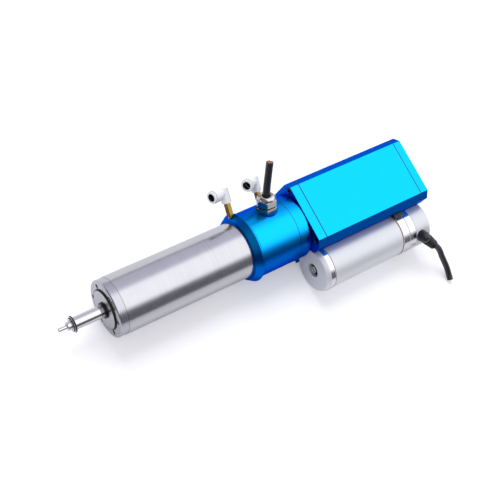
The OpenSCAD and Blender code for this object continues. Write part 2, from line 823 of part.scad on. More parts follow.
// Brass stem that screws into the blue housing at the given surface radius
module air_stem(x, surface_r) {
    color([0.8, 0.62, 0.25]) stem_place(x) difference() {
        union() {
            translate([0, 0, surface_r - stem_depth])
                cylinder(r = stem_r, h = stem_depth + elbow_height - stem_top_drop);
            translate([0, 0, surface_r + 0.2])
                cylinder(r = stem_hex_r, h = elbow_height - elbow_drop - 0.5, $fn = 6);
        }
        translate([0, 0, surface_r - stem_depth - cut])
            cylinder(r = stem_bore_r, h = elbow_height + stem_depth);
    }
}

module air_stem_1() { air_stem(front_elbow_x, front_stem_seat); }
module air_stem_2() { air_stem(rear_elbow_x, housing_r); }

// Puts children at the corner of an elbow, +Z along its port
module port_place(x, surface_r, port_turn) {
    stem_place(x) translate([0, 0, surface_r + elbow_height])
        rotate([0, 0, 180 + port_turn]) rotate([0, 90, 0]) children();
}

// Push-in elbow that swivels on its stem
module elbow(x, surface_r, port_turn) {
    reach = surface_r + elbow_height;
    bottom = reach - elbow_drop;
    crown_top = reach + elbow_crown + elbow_bevel;
    socket_top = reach - stem_top_drop + 0.2;
    color([0.86, 0.87, 0.88]) difference() {
        union() {
            stem_place(x) rotate_extrude() polygon([[0, bottom], [elbow_barrel_r, bottom],
                [elbow_barrel_r, reach + elbow_crown], [elbow_barrel_r - elbow_bevel, crown_top],
                [0, crown_top]]);
            port_place(x, surface_r, port_turn) {
                cylinder(r = port_neck_r, h = port_len - cut);
                translate([0, 0, port_len - mouth_len]) cylinder(r = port_r, h = mouth_len);
            }
        }
        stem_place(x) {
            translate([0, 0, bottom - cut]) cylinder(r = stem_r + run_gap, h = socket_top - bottom + cut);
            translate([0, 0, bottom]) cylinder(r = stem_bore_r, h = elbow_drop + 2);
        }
        port_place(x, surface_r, port_turn) {
            cylinder(r = elbow_bore_r, h = port_len);
            translate([0, 0, port_len - collar_len - tube_seat_len])
                cylinder(r = tube_seat_r, h = port_len + 2);
            translate([0, 0, port_len - collar_len])
                cylinder(r = collar_r + run_gap, h = port_len + 2);
        }
    }
}

module elbow_1() { elbow(front_elbow_x, front_stem_seat, front_port_turn); }
module elbow_2() { elbow(rear_elbow_x, housing_r, rear_port_turn); }

// Release collar in an elbow's mouth, pressed in to free the tube
module release_collar(x, surface_r, port_turn) {
    color([0.75, 0.76, 0.78]) port_place(x, surface_r, port_turn) difference() {
        union() {
            translate([0, 0, port_len - collar_len + collar_stroke + 0.2])
                cylinder(r = collar_r, h = collar_len);
            translate([0, 0, port_len + collar_stroke + 0.2])
                cylinder(r = collar_flange_r, h = collar_flange_t);
        }
        cylinder(r = collar_bore_r, h = 2 * port_len);
    }
}

module release_collar_1() { release_collar(front_elbow_x, front_stem_seat, front_port_turn); }
module release_collar_2() { release_collar(rear_elbow_x, housing_r, rear_port_turn); }

// Outline of the box, drawn in from its surface by an inset
module box_outline(inset = 0) {
    w = box_half - inset;
    top = box_top - inset;
    bottom = -(box_bottom - inset);
    bevel = inset * tan(22.5);
    cw = chamfer_w - bevel;
    ch = chamfer_h - bevel;
    polygon([[-w, bottom + bottom_bevel], [-w + bottom_bevel, bottom],
             [w - bottom_bevel, bottom], [w, bottom + bottom_bevel],
             [w, top - ch], [w - cw, top], [-w + cw, top], [-w, top - ch]]);
}

// The actuator's place in the YZ plane
module at_actuator() {
    translate([actuator_y, actuator_z]) children();
}

// The four plate screws' places in the YZ plane
module at_plate_screws() {
    for (spot = [[plate_screw_y, plate_screw_top], [-plate_screw_y, plate_screw_top],
                 [plate_screw_y, plate_screw_bottom],
                 [screw_shift - plate_screw_y, plate_screw_bottom]])
        translate(spot) children();
}

// Front plate of the box, bored for the push rod and keyed
module front_plate() {
    color([0.05, 0.45, 0.9]) on_axis(tail_rear) difference() {
        linear_extrude(front_plate_t) difference() {
            box_outline();
            at_actuator() circle(r = saddle_r);
            circle(r = rod_r + run_gap);
            translate([-key_w / 2, 0]) square([key_w, rod_r + key_w]);
            at_plate_screws() circle(r = plate_screw_d / 2);
        }
        at_plate_screws() translate([0, 0, -cut])
            cylinder(r = plate_head_r + 0.25, h = plate_head_depth + cut);
    }
}

// Key that keeps the push rod from turning
module guide_key() {
    color([0.5, 0.5, 0.52]) translate([key_front, -key_w / 2, rod_r - key_depth + 0.1])
        cube([key_len, key_w, key_depth + key_w - 0.1]);
}

// Box shell with the saddle for the actuator
module box_shell() {
    color([0.05, 0.45, 0.9]) on_axis(shell_front) difference() {
        linear_extrude(shell_len) difference() {
            box_outline();
            at_actuator() circle(r = saddle_r);
            difference() {
                box_outline(box_wall);
                at_actuator() circle(r = saddle_r + box_wall);
                at_plate_screws() circle(r = screw_post_r);
            }
            at_plate_screws() circle(r = plate_screw_d / 2);
        }
        translate([idler_y, idler_z, band_front - shell_front]) cylinder(r = window_r, h = band_len);
        translate([idler_y, idler_z, carrier_front - shell_front])
            cylinder(r = idler_pin_r + free_gap, h = band_front - carrier_front + cut);
    }
}

// Rear plate with the boss that carries the release gear's hub
module rear_plate() {
    boss_front = band_rear + 6;
    boss_len = shell_rear - boss_front;
    boss_wall = 5;
    socket_len = hub_rear + 0.5 - boss_front;
    color([0.05, 0.45, 0.9]) on_axis(shell_rear) difference() {
        union() {
            linear_extrude(rear_plate_t) difference() {
                box_outline();
                at_actuator() circle(r = saddle_r);
                at_plate_screws() circle(r = plate_screw_d / 2);
            }
            translate([0, 0, -boss_len]) cylinder(r = hub_r + boss_wall, h = boss_len + cut);
        }
        translate([0, 0, -boss_len - cut]) cylinder(r = hub_r + run_gap, h = socket_len + cut);
        at_plate_screws() translate([0, 0, rear_plate_t - plate_head_depth])
            cylinder(r = plate_head_r + 0.25, h = plate_head_depth + cut);
    }
}

// Socket screws of both plates
module plate_screws() {
    color([0.3, 0.31, 0.33]) {
        on_axis(tail_rear) at_plate_screws() translate([0, 0, plate_head_depth]) mirror([0, 0, 1])
            socket_screw(plate_screw_d / 2, plate_screw_len, plate_head_r, plate_head_h);
        on_axis(box_rear) at_plate_screws() translate([0, 0, -plate_head_depth])
            socket_screw(plate_screw_d / 2, plate_screw_len, plate_head_r, plate_head_h);
    }
}

// Bulkhead that carries the release gear's hub and the idler's pin
module bearing_carrier() {
    color([0.6, 0.62, 0.64]) on_axis(carrier_front) difference() {
        linear_extrude(carrier_t) difference() {
            box_outline(box_wall);
            at_actuator() circle(r = saddle_r + box_wall);
            at_plate_screws() circle(r = screw_post_r);
        }
        translate([0, 0, -cut]) cylinder(r = hub_r + run_gap, h = carrier_t + 2 * cut);
        translate([idler_y, idler_z, carrier_t - pin_seat]) cylinder(r = idler_pin_r, h = pin_seat + cut);
    }
}

// Pin of the idler
module idler_pin() {
    color([0.7, 0.71, 0.73]) {
        ring(carrier_rear - pin_seat, band_rear - carrier_rear + pin_seat, idler_pin_r, 0,
             idler_y, idler_z);
        ring(band_rear - clip_t - 0.1, clip_t, idler_pin_r + 1.6, idler_pin_r, idler_y, idler_z);
    }
}

// Black guard over the gear window between box and actuator
module gear_guard() {
    guard_h = 9;
    guard_reach = 9;
    guard_edge = actuator_y + guard_reach;
    color([0.07, 0.07, 0.08]) on_axis(band_front - 1.5) difference() {
        translate([guard_edge, idler_z - 1, 0]) cube([-box_half - guard_edge, guard_h, band_len + 3]);
        translate([idler_y, idler_z, -cut]) cylinder(r = window_r, h = band_len + 3 + 2 * cut);
        at_actuator() translate([0, 0, -cut]) cylinder(r = saddle_r, h = band_len + 3 + 2 * cut);
    }
}

// Board with the two travel switches above the push rod
module sensor_board() {
    color([0.05, 0.35, 0.2]) {
        board_top = box_top - box_wall - board_gap;
        switch_h = board_top - board_t - sensor_collar_r - 0.6;
        translate([sensor_x - board_len / 2, -board_w / 2, board_top - board_t])
            cube([board_len, board_w, board_t]);
        for (x = [-1, 1], y = [-1, 1])
            translate([sensor_x + x * (board_len / 2 - 4), y * (board_w / 2 - 4), board_top])
                cylinder(r = 2.5, h = board_gap);
        for (x = [-1, 1]) translate([sensor_x + x * board_len / 5 - 2.5, -4, sensor_collar_r + 0.6])
            cube([5, 8, switch_h]);
    }
}

// Collar on the push rod that the travel switches read
module sensor_collar() {
    color([0.45, 0.46, 0.48])
        ring(sensor_x - sensor_collar_len / 2, sensor_collar_len, sensor_collar_r, rod_r);
}

// Push rod that the release gear drives forward against the drawbar
module push_rod() {
    color([0.66, 0.67, 0.69]) difference() {
        turned([[0, rod_front], [drawbar_r + 1.5, rod_front], [drawbar_r + 1.5, rod_front + 12],
                [rod_r, rod_front + 14], [rod_r, rod_rear], [0, rod_rear]]);
        translate([key_front - release_travel - 2, -key_w / 2 - run_gap, rod_r - key_depth])
            cube([key_len + 2 * release_travel + 4, key_w + 2 * run_gap, rod_r]);
    }
}

// Point of an involute from its base circle
function involute(base_r, roll) = base_r * [cos(roll) + roll * PI / 180 * sin(roll),
                                            sin(roll) - roll * PI / 180 * cos(roll)];

// Outline of a spur gear with a tooth centred on the first axis
module gear_outline(teeth, backlash = 0.12) {
    pressure = 20;
    steps = 4;
    pitch_r = gear_module * teeth / 2;
    base_r = pitch_r * cos(pressure);
    tip_r = pitch_r + gear_module * 0.92;
    root_r = pitch_r - gear_module * 1.2;
    start_roll = root_r > base_r ? sqrt(pow(root_r / base_r, 2) - 1) * 180 / PI : 0;
    end_roll = sqrt(pow(tip_r / base_r, 2) - 1) * 180 / PI;
    inv_pitch = (tan(pressure) - pressure * PI / 180) * 180 / PI;
    half_angle = 90 / teeth - backlash / pitch_r * 90 / PI + inv_pitch;
    flank = [for (k = [0:steps]) involute(base_r, start_roll + (end_roll - start_roll) * k / steps)];
    polygon([for (i = [0:teeth - 1]) let (mid = i * 360 / teeth) each concat(
        [root_r * [cos(mid - half_angle - 0.2), sin(mid - half_angle - 0.2)]],
        [for (p = flank) turn(p, mid - half_angle)],
        [for (k = [steps:-1:0]) turn([flank[k][0], -flank[k][1]], mid + half_angle)],
        [root_r * [cos(mid + half_angle + 0.2), sin(mid + half_angle + 0.2)]])]);
}

// A point turned about the origin
function turn(p, a) = [p[0] * cos(a) - p[1] * sin(a), p[0] * sin(a) + p[1] * cos(a)];

// A spur gear along the axis
module gear(teeth, phase, bore_r, y = 0, z = 0) {
    on_axis(gear_front, y, z) difference() {
        rotate([0, 0, phase]) linear_extrude(gear_w) gear_outline(teeth);
        translate([0, 0, -cut]) cylinder(r = bore_r, h = gear_w + 2 * cut);
    }
}

// Release gear whose hub is the nut of the push rod
module drive_gear() {
    color([0.75, 0.6, 0.3]) {
        gear(drive_teeth, to_idler, hub_r);
        ring(carrier_front, hub_rear - carrier_front, hub_r, rod_r + run_gap);
        ring(carrier_rear + 0.2, gear_front - carrier_rear - 0.2, hub_r + 2.5, hub_r - 1);
    }
}

// Idler between the release gear and the pinion
module idler_gear() {
    color([0.8, 0.8, 0.82]) gear(idler_teeth, idler_phase, idler_pin_r + run_gap, idler_y, idler_z);
}

// Pinion on the actuator's shaft
module pinion() {
    color([0.75, 0.6, 0.3]) gear(pinion_teeth, pinion_phase, arm_r, actuator_y, actuator_z);
}

// Actuator tube
module actuator_tube() {
    color([0.8, 0.81, 0.82])
        ring(tube_front, band_front - seal_t - tube_front, tube_r, tube_bore_r, actuator_y, actuator_z);
}

// Front cap of the actuator with the recess of the hand release
module actuator_front_cap() {
    cap_rear = actuator_front + actuator_cap_len;
    color([0.82, 0.83, 0.84]) difference() {
        turned([[arm_bore_r, actuator_front], [actuator_r - taper_depth, actuator_front],
                [actuator_r, actuator_front + taper_len],
                [actuator_r, cap_rear], [tube_bore_r, cap_rear], [tube_bore_r, cap_rear + 6],
                [tube_bore_r - 3, cap_rear + 6], [tube_bore_r - 3, cap_rear],
                [arm_bore_r, cap_rear]], actuator_y, actuator_z);
        ring(actuator_front - cut, recess_depth + cut, recess_d / 2, 0, actuator_y, actuator_z);
    }
}

// Thin seal rings at both ends of the tube
module seal_rings() {
    color([0.45, 0.25, 0.15]) for (x = [tube_front - seal_t, band_front - seal_t])
        ring(x, seal_t, actuator_r - 0.2, tube_bore_r, actuator_y, actuator_z);
}

// Band round the pinion, open towards the idler
module gear_band() {
    color([0.82, 0.83, 0.84]) difference() {
        union() {
            ring(band_front, band_len, actuator_r, band_bore_r, actuator_y, actuator_z);
            ring(band_front - spigot_t, spigot_t, tube_bore_r, arm_bore_r, actuator_y, actuator_z);
            ring(band_front - 0.4, 0.8, tube_bore_r, band_bore_r - 2.5, actuator_y, actuator_z);
        }
        ring(band_front, band_len, window_r, 0, idler_y, idler_z);
    }
}

// Band behind the gears
module rear_band() {
    color([0.78, 0.79, 0.8]) difference() {
        ring(band_rear, band_len, actuator_r - 0.3, arm_bore_r, actuator_y, actuator_z);
        ring(band_rear + 3, band_len, tube_bore_r, arm_bore_r + 4, actuator_y, actuator_z);
    }
}

// Rear cap of the actuator
module actuator_rear_cap() {
    color([0.82, 0.83, 0.84]) difference() {
        turned([[0, rear_band_rear + 5], [tube_bore_r - 1, rear_band_rear + 5],
                [tube_bore_r - 1, rear_band_rear], [actuator_r, rear_band_rear],
                [actuator_r, actuator_rear - cap_bevel], [actuator_r - cap_bevel, actuator_rear],
                [0, actuator_rear]], actuator_y, actuator_z);
        relief_place() {
            translate([0, 0, -relief_seat]) cylinder(r = relief_r, h = relief_h);
            translate([0, 0, -6]) cylinder(r = actuator_cable_r, h = relief_h);
        }
    }
}

// Permanent magnets of the actuator
module motor_magnets() {
    front = tube_front + magnet_inset;
    len = band_front - seal_t - magnet_back - front;
    color([0.25, 0.25, 0.27]) difference() {
        ring(front, len, magnet_r, magnet_r - magnet_t, actuator_y, actuator_z);
        translate([front - cut, actuator_y - magnet_gap / 2, actuator_z - actuator_r])
            cube([len + 2 * cut, magnet_gap, actuator_d]);
    }
}

// Armature core with its slots
module armature_core() {
    front = tube_front + magnet_inset + 2;
    len = band_front - seal_t - magnet_back - 2 - front;
    color([0.4, 0.3, 0.25]) difference() {
        ring(front, len, core_r, arm_r, actuator_y, actuator_z);
        for (i = [0:core_slots - 1]) translate([front - cut, actuator_y, actuator_z])
            rotate([i * 360 / core_slots, 0, 0]) translate([0, -1, core_r - 6]) cube([len + 2 * cut, 2, 7]);
    }
}

// Commutator
module commutator() {
    color([0.75, 0.42, 0.22]) difference() {
        ring(commutator_front, commutator_len, commutator_r, arm_r, actuator_y, actuator_z);
        for (i = [0:core_slots - 1]) translate([commutator_front - cut, actuator_y, actuator_z])
            rotate([(i + 0.5) * 360 / core_slots, 0, 0])
                translate([0, -0.25, commutator_r - 1.5]) cube([commutator_len + 2 * cut, 0.5, 3]);
    }
}

// Brush carrier with its two brushes
module brush_carrier() {
    x = commutator_front + (commutator_len - brush_len) / 2;
    holder_r = commutator_r + 6;
    color([0.12, 0.12, 0.13]) {
        ring(x, brush_len, tube_bore_r, holder_r, actuator_y, actuator_z);
        for (a = [0, 180]) translate([x + 1, actuator_y, actuator_z]) rotate([a, 0, 0])
            translate([0, -brush_w / 2, commutator_r + 0.15])
                cube([brush_len - 2, brush_w, holder_r - commutator_r + 1.5]);
    }
}

// Shaft of the actuator with its slotted front end
module armature_shaft() {
    front = actuator_front + 0.8;
    color([0.65, 0.66, 0.68]) difference() {
        ring(front, band_rear + 6 - front, arm_r, 0, actuator_y, actuator_z);
        translate([front - cut, actuator_y - arm_r - cut, actuator_z - 0.6])
            cube([1.6 + cut, 2 * (arm_r + cut), 1.2]);
    }
}

// Puts children on the rear cap at the strain relief, +Z pointing straight out
module relief_place() {
    translate([relief_x, actuator_y, actuator_z]) rotate([relief_lean, 0, 0])
        translate([0, 0, actuator_r]) children();
}

// Angled strain relief with a ribbed tail
module strain_relief() {
    rib_count = 5;
    rib_pitch = 1.9;
    color([0.1, 0.1, 0.11]) relief_place() {
        translate([0, 0, -relief_seat]) cylinder(r = relief_r, h = relief_h + relief_seat);
        translate([0, 0, relief_h]) sphere(r = relief_ball_r, $fn = 40);
        translate([0, 0, relief_h - relief_tail_drop]) rotate([0, 0, relief_turn - 90]) rotate([0, 90, 0]) {
            cylinder(r = actuator_cable_r + 1.4, h = relief_tail_len);
            for (i = [0:rib_count - 1]) translate([0, 0, 6.5 + i * rib_pitch])
                cylinder(r = actuator_cable_r + 2.4 - i * 0.15, h = rib_pitch - 0.8);
        }
    }
}

// Actuator cable, from the strain relief down to the floor
module actuator_cable() {
    color([0.08, 0.08, 0.09]) cord(actuator_cable_points, actuator_cable_r, 1);
}

front_cap();
nose_cover();
nose_screws();
clamp_sleeve();
bearing_outer_rings();
stator_core();
stator_windings();
connection_housing();
tail_cover();
gland_body();
gland_seal();
gland_nut();
spindle_cable();
air_stem_1();
air_stem_2();
front_plate();
box_shell();
rear_plate();
plate_screws();
bearing_carrier();
guide_key();
sensor_board();
gear_guard();
idler_pin();
actuator_tube();
actuator_front_cap();
seal_rings();
gear_band();
rear_band();
actuator_rear_cap();
motor_magnets();
brush_carrier();
strain_relief();
actuator_cable();
spindle_shaft();
rotor_core();
slinger_disc();
nose_collar();
bearing_inner_rings();
lock_nut();
bearing_balls();
bearing_cages();
drawbar();
collet();
disc_springs();
tool_pin();
push_rod();
sensor_collar();
drive_gear();
idler_gear();
pinion();
armature_shaft();
armature_core();
commutator();
elbow_1();
elbow_2();
release_collar_1();
release_collar_2();
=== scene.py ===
import json
import math

import bmesh
import bpy
from mathutils import Matrix, Vector


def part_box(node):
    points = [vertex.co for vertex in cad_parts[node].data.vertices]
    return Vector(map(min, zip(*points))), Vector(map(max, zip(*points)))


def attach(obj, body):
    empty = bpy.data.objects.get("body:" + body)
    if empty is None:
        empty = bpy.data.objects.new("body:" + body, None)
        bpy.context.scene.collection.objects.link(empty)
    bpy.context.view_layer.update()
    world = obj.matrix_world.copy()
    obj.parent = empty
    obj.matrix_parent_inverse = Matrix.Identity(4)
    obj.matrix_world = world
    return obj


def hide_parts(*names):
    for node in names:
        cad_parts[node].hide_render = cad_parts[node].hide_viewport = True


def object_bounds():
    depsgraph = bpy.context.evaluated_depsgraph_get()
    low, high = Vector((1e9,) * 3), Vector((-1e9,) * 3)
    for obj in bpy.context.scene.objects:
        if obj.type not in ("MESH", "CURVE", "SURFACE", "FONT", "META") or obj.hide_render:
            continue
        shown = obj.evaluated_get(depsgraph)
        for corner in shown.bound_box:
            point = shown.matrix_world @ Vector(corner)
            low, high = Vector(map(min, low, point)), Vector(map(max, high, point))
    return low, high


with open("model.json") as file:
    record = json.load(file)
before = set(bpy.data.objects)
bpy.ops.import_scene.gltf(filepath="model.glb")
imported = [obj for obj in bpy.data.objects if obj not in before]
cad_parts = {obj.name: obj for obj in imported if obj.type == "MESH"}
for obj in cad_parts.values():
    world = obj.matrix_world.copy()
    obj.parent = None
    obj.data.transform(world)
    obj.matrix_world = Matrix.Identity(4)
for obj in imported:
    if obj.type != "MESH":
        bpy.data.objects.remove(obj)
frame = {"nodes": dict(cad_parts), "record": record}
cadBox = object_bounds()
scene = bpy.context.scene
mm = 0.001  # most sizes below are in millimetres
print("frame loaded,", len(frame["nodes"]), "nodes")

# camera at the photograph's angle, in metres and degrees

cameraView = {
    "azimuth": -73.02,
    "elevation": 61.92,
    "roll": 46.49,
    "target": (0.0665, 0, 0),
    "distance": 1.04764,
    "slideRight": 0.01978,
    "slideUp": 0.002965,
    "lens": 72,
    "sensor": 36,
    "nearest": 0.01,
}


def makeCamera():
    azimuth = math.radians(cameraView["azimuth"])
    elevation = math.radians(cameraView["elevation"])
    roll = math.radians(cameraView["roll"])
    back = Vector((
        math.sin(azimuth) * math.cos(elevation),
        -math.cos(azimuth) * math.cos(elevation),
        math.sin(elevation),
    ))
    level = Vector((math.cos(azimuth), math.sin(azimuth), 0))
    rise = back.cross(level)
    right = level * math.cos(roll) + rise * math.sin(roll)
    up = rise * math.cos(roll) - level * math.sin(roll)
    place = Vector(cameraView["target"]) + back * cameraView["distance"]
    place += right * cameraView["slideRight"] + up * cameraView["slideUp"]
    data = bpy.data.cameras.new("camera")
    data.sensor_width = cameraView["sensor"]
    data.lens = cameraView["lens"]
    data.clip_start = cameraView["nearest"]
    camera = bpy.data.objects.new("camera", data)
    scene.collection.objects.link(camera)
    camera.matrix_world = Matrix.LocRotScale(place, Matrix((right, up, back)).transposed(), None)
    scene.camera = camera


makeCamera()
print("camera placed")

# cords: each follows the route of its solid

glandStand = {"x": 113, "lean": -38}
glandPlace = Matrix.Translation((glandStand["x"] * mm, 0, 0))
glandPlace = glandPlace @ Matrix.Rotation(math.radians(glandStand["lean"]), 4, "X")
axisPlace = Matrix.Rotation(math.radians(90), 4, "Y")  # turns +Z into the spindle axis

spindleCord = {
    "radius": 3.88,
    "points": [
        (0, 0, 28.3), (0, 0, 42.3), (0, 0, 54.3), (1, 0, 64.3), (2.4, 0, 74.3), (3.8, 0, 84.3),
        (5, 0, 92.3),
    ],
    "steps": 3,
}

actuatorCord = {
    "radius": 3.5,
    "points": [
        (292.4, -81.6, 3.1), (297, -85.1, -0.8), (301.2, -88.2, -3.6), (305.3, -91.4, -6.5),
        (308.9, -96.4, -10.9), (311.2, -101.6, -15.7), (314, -106.9, -20.4), (316.6, -112.3, -24.8),
        (318.4, -117.8, -28.8), (319.2, -123, -31.9), (319.2, -127.3, -33.7), (318.8, -130.6, -34.7),
    ],
    "steps": 2,
}


def smoothRoute(points, steps):
    # a smooth curve through every point
    route = []
    last = len(points) - 1
    for index in range(last):
        before = points[max(index - 1, 0)]
        start = points[index]
        end = points[index + 1]
        after = points[min(index + 2, last)]
        for step in range(steps):
            share = step / steps
            bend = (2 * before - 5 * start + 4 * end - after) * share ** 2
            twist = (3 * start - before - 3 * end + after) * share ** 3
            route.append(0.5 * (2 * start + (end - before) * share + bend + twist))
    route.append(points[last])
    return route


def makeCord(name, cord, place=Matrix.Identity(4)):
    points = [place @ (Vector(point) * mm) for point in cord["points"]]
    route = smoothRoute(points, cord["steps"])
    curve = bpy.data.curves.new(name, "CURVE")
    curve.dimensions = "3D"
    curve.bevel_depth = 1  # each point's own radius sets the thickness
    curve.bevel_resolution = 7
    curve.use_fill_caps = True
    spline = curve.splines.new("POLY")
    spline.points.add(len(route) - 1)
    for target, point in zip(spline.points, route):
        target.co = (*point, 1)
        target.radius = cord["radius"] * mm
    piece = bpy.data.objects.new(name, curve)
    scene.collection.objects.link(piece)
    length = sum((end - start).length for start, end in zip(route, route[1:]))
    print(name, "length", round(length, 4))
    return piece, route, length


glandCordPiece, glandRoute, glandLength = makeCord("spindleCord", spindleCord, glandPlace)
actuatorCordPiece, actuatorRoute, actuatorLength = makeCord("actuatorCord", actuatorCord)
for cordPiece, cordNode in ((glandCordPiece, "spindle_cable"), (actuatorCordPiece, "actuator_cable")):
    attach(cordPiece, "housing")
    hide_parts(cordNode)

# shader groups: each puts out masks and heights only


def startGroup(name, inputs, outputs):
    group = bpy.data.node_groups.new(name, "ShaderNodeTree")
    for label, kind, value in inputs:
        socket = group.interface.new_socket(name=label, in_out="INPUT", socket_type=kind)
        if value is not None:
            socket.default_value = value
    for label in outputs:
        group.interface.new_socket(name=label, in_out="OUTPUT", socket_type="NodeSocketFloat")
    entry = group.nodes.new("NodeGroupInput")
    leave = group.nodes.new("NodeGroupOutput")
    return group, entry, leave


def addMath(tree, operation, first, second=None):
    node = tree.nodes.new("ShaderNodeMath")
    node.operation = operation
    for index, value in enumerate((first, second)):
        if value is None:
            continue
        if isinstance(value, (int, float)):
            node.inputs[index].default_value = value
        else:
            tree.links.new(value, node.inputs[index])
    return node.outputs[0]


def addNoise(tree, vector, scale, detail, roughness=0.5):
    node = tree.nodes.new("ShaderNodeTexNoise")
    node.inputs["Detail"].default_value = detail
    node.inputs["Roughness"].default_value = roughness
    tree.links.new(vector, node.inputs["Vector"])
    if isinstance(scale, (int, float)):
        node.inputs["Scale"].default_value = scale
    else:
        tree.links.new(scale, node.inputs["Scale"])
    return node.outputs["Fac"]


def mapValue(tree, value, low, high, fromLow, fromHigh):
    node = tree.nodes.new("ShaderNodeMapRange")
    tree.links.new(value, node.inputs["Value"])
    node.inputs["From Min"].default_value = fromLow
    node.inputs["From Max"].default_value = fromHigh
    node.inputs["To Min"].default_value = low
    node.inputs["To Max"].default_value = high
    return node.outputs["Result"]


# values of the groups, with each noise as (scale, detail, roughness)

patterns = {
    "turned": {"scale": 2500.0, "detail": 2.0, "breakUp": 0.01, "cloud": (38.0, 4.0, 0.6)},
    "grain": {"scale": 3000.0, "detail": 4.0, "rough": 0.65, "cloud": (26.0, 3.0, 0.55)},
    "scuffs": {
        "turn": (0.5, 0.3, 0.7), "stretch": (60, 1800, 1800),
        "hair": (1.0, 2.0, 0.5), "hairLimit": 0.73, "patch": (90.0, 3.0, 0.5), "patchLimit": 0.56,
    },
    "dust": {"slope": 0.55, "fleck": (900.0, 5.0, 0.7), "contrast": 3.0},
    # where the painted highlight on faces that look up fades in
    "paintedTopLight": {"from": 0.72, "to": 0.97},
}


def makeTurnedLines():
    # lathe lines round the X axis: rings on end faces, hoops on round faces
    look = patterns["turned"]
    group, entry, leave = startGroup(
        "turnedLines",
        [("Vector", "NodeSocketVector", None), ("Scale", "NodeSocketFloat", look["scale"])],
        ["Line", "Cloud"],
    )
    split = group.nodes.new("ShaderNodeSeparateXYZ")
    group.links.new(entry.outputs["Vector"], split.inputs[0])
    squareY = addMath(group, "MULTIPLY", split.outputs["Y"], split.outputs["Y"])
    squareZ = addMath(group, "MULTIPLY", split.outputs["Z"], split.outputs["Z"])
    reach = addMath(group, "SQRT", addMath(group, "ADD", squareY, squareZ))
    join = group.nodes.new("ShaderNodeCombineXYZ")
    group.links.new(split.outputs["X"], join.inputs["X"])
    group.links.new(reach, join.inputs["Y"])
    group.links.new(addMath(group, "MULTIPLY", split.outputs["Z"], look["breakUp"]), join.inputs["Z"])
    line = addNoise(group, join.outputs[0], entry.outputs["Scale"], look["detail"])
    cloud = addNoise(group, entry.outputs["Vector"], *look["cloud"])
    group.links.new(line, leave.inputs["Line"])
    group.links.new(cloud, leave.inputs["Cloud"])
    return group


def makeFineGrain():
    # blasted or moulded grain with a slow cloud over it
    look = patterns["grain"]
    group, entry, leave = startGroup(
        "fineGrain",
        [("Vector", "NodeSocketVector", None), ("Scale", "NodeSocketFloat", look["scale"])],
        ["Grain", "Cloud"],
    )
    grain = addNoise(group, entry.outputs["Vector"], entry.outputs["Scale"], look["detail"], look["rough"])
    cloud = addNoise(group, entry.outputs["Vector"], *look["cloud"])
    group.links.new(grain, leave.inputs["Grain"])
    group.links.new(cloud, leave.inputs["Cloud"])
    return group


def makeScuffs():
    # sparse hair scratches, kept to a few patches
    look = patterns["scuffs"]
    group, entry, leave = startGroup("scuffs", [("Vector", "NodeSocketVector", None)], ["Mask"])
    mapping = group.nodes.new("ShaderNodeMapping")
    mapping.inputs["Rotation"].default_value = look["turn"]
    mapping.inputs["Scale"].default_value = look["stretch"]
    group.links.new(entry.outputs["Vector"], mapping.inputs["Vector"])
    hair = addNoise(group, mapping.outputs[0], *look["hair"])
    patch = addNoise(group, entry.outputs["Vector"], *look["patch"])
    hairMask = addMath(group, "GREATER_THAN", hair, look["hairLimit"])
    patchMask = addMath(group, "GREATER_THAN", patch, look["patchLimit"])
    group.links.new(addMath(group, "MULTIPLY", hairMask, patchMask), leave.inputs["Mask"])
    return group


def makeSettledDust():
    # a thin film on the faces that look up
    look = patterns["dust"]
    group, entry, leave = startGroup("settledDust", [("Vector", "NodeSocketVector", None)], ["Mask"])
    geometry = group.nodes.new("ShaderNodeNewGeometry")
    split = group.nodes.new("ShaderNodeSeparateXYZ")
    group.links.new(geometry.outputs["Normal"], split.inputs[0])
    level = addMath(group, "SUBTRACT", split.outputs["Z"], look["slope"])
    level = addMath(group, "MAXIMUM", level, 0.0)
    fleck = addNoise(group, entry.outputs["Vector"], *look["fleck"])
    fleck = addMath(group, "POWER", fleck, look["contrast"])
    group.links.new(addMath(group, "MULTIPLY", level, fleck), leave.inputs["Mask"])
    return group


def makePaintedTopLight():
    # how far a face of the object looks up; there the blue is painted lighter and more cyan, a painted
    # highlight of the overhead light
    look = patterns["paintedTopLight"]
    group, entry, leave = startGroup("paintedTopLight", [], ["Mask"])
    coordinates = group.nodes.new("ShaderNodeTexCoord")
    split = group.nodes.new("ShaderNodeSeparateXYZ")
    group.links.new(coordinates.outputs["Normal"], split.inputs[0])
    share = mapValue(group, split.outputs["Z"], 0, 1, look["from"], look["to"])
    group.links.new(share, leave.inputs["Mask"])
    return group


shaderGroups = {
    "paintedTopLight": makePaintedTopLight(),
    "turned": makeTurnedLines(),
    "grain": makeFineGrain(),
    "scuffs": makeScuffs(),
    "dust": makeSettledDust(),
}
print("shader groups ready")

# finishes: one for each material slot of the record, and two more for the cables and the bands
# dark and light are the two tones, rough the least and the most roughness

capLow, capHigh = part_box("actuator_front_cap")
actuatorY = (capLow[1] + capHigh[1]) / 2
actuatorZ = (capLow[2] + capHigh[2]) / 2
actuatorShift = (0, -actuatorY, -actuatorZ)  # puts a pattern's middle on the actuator's axis

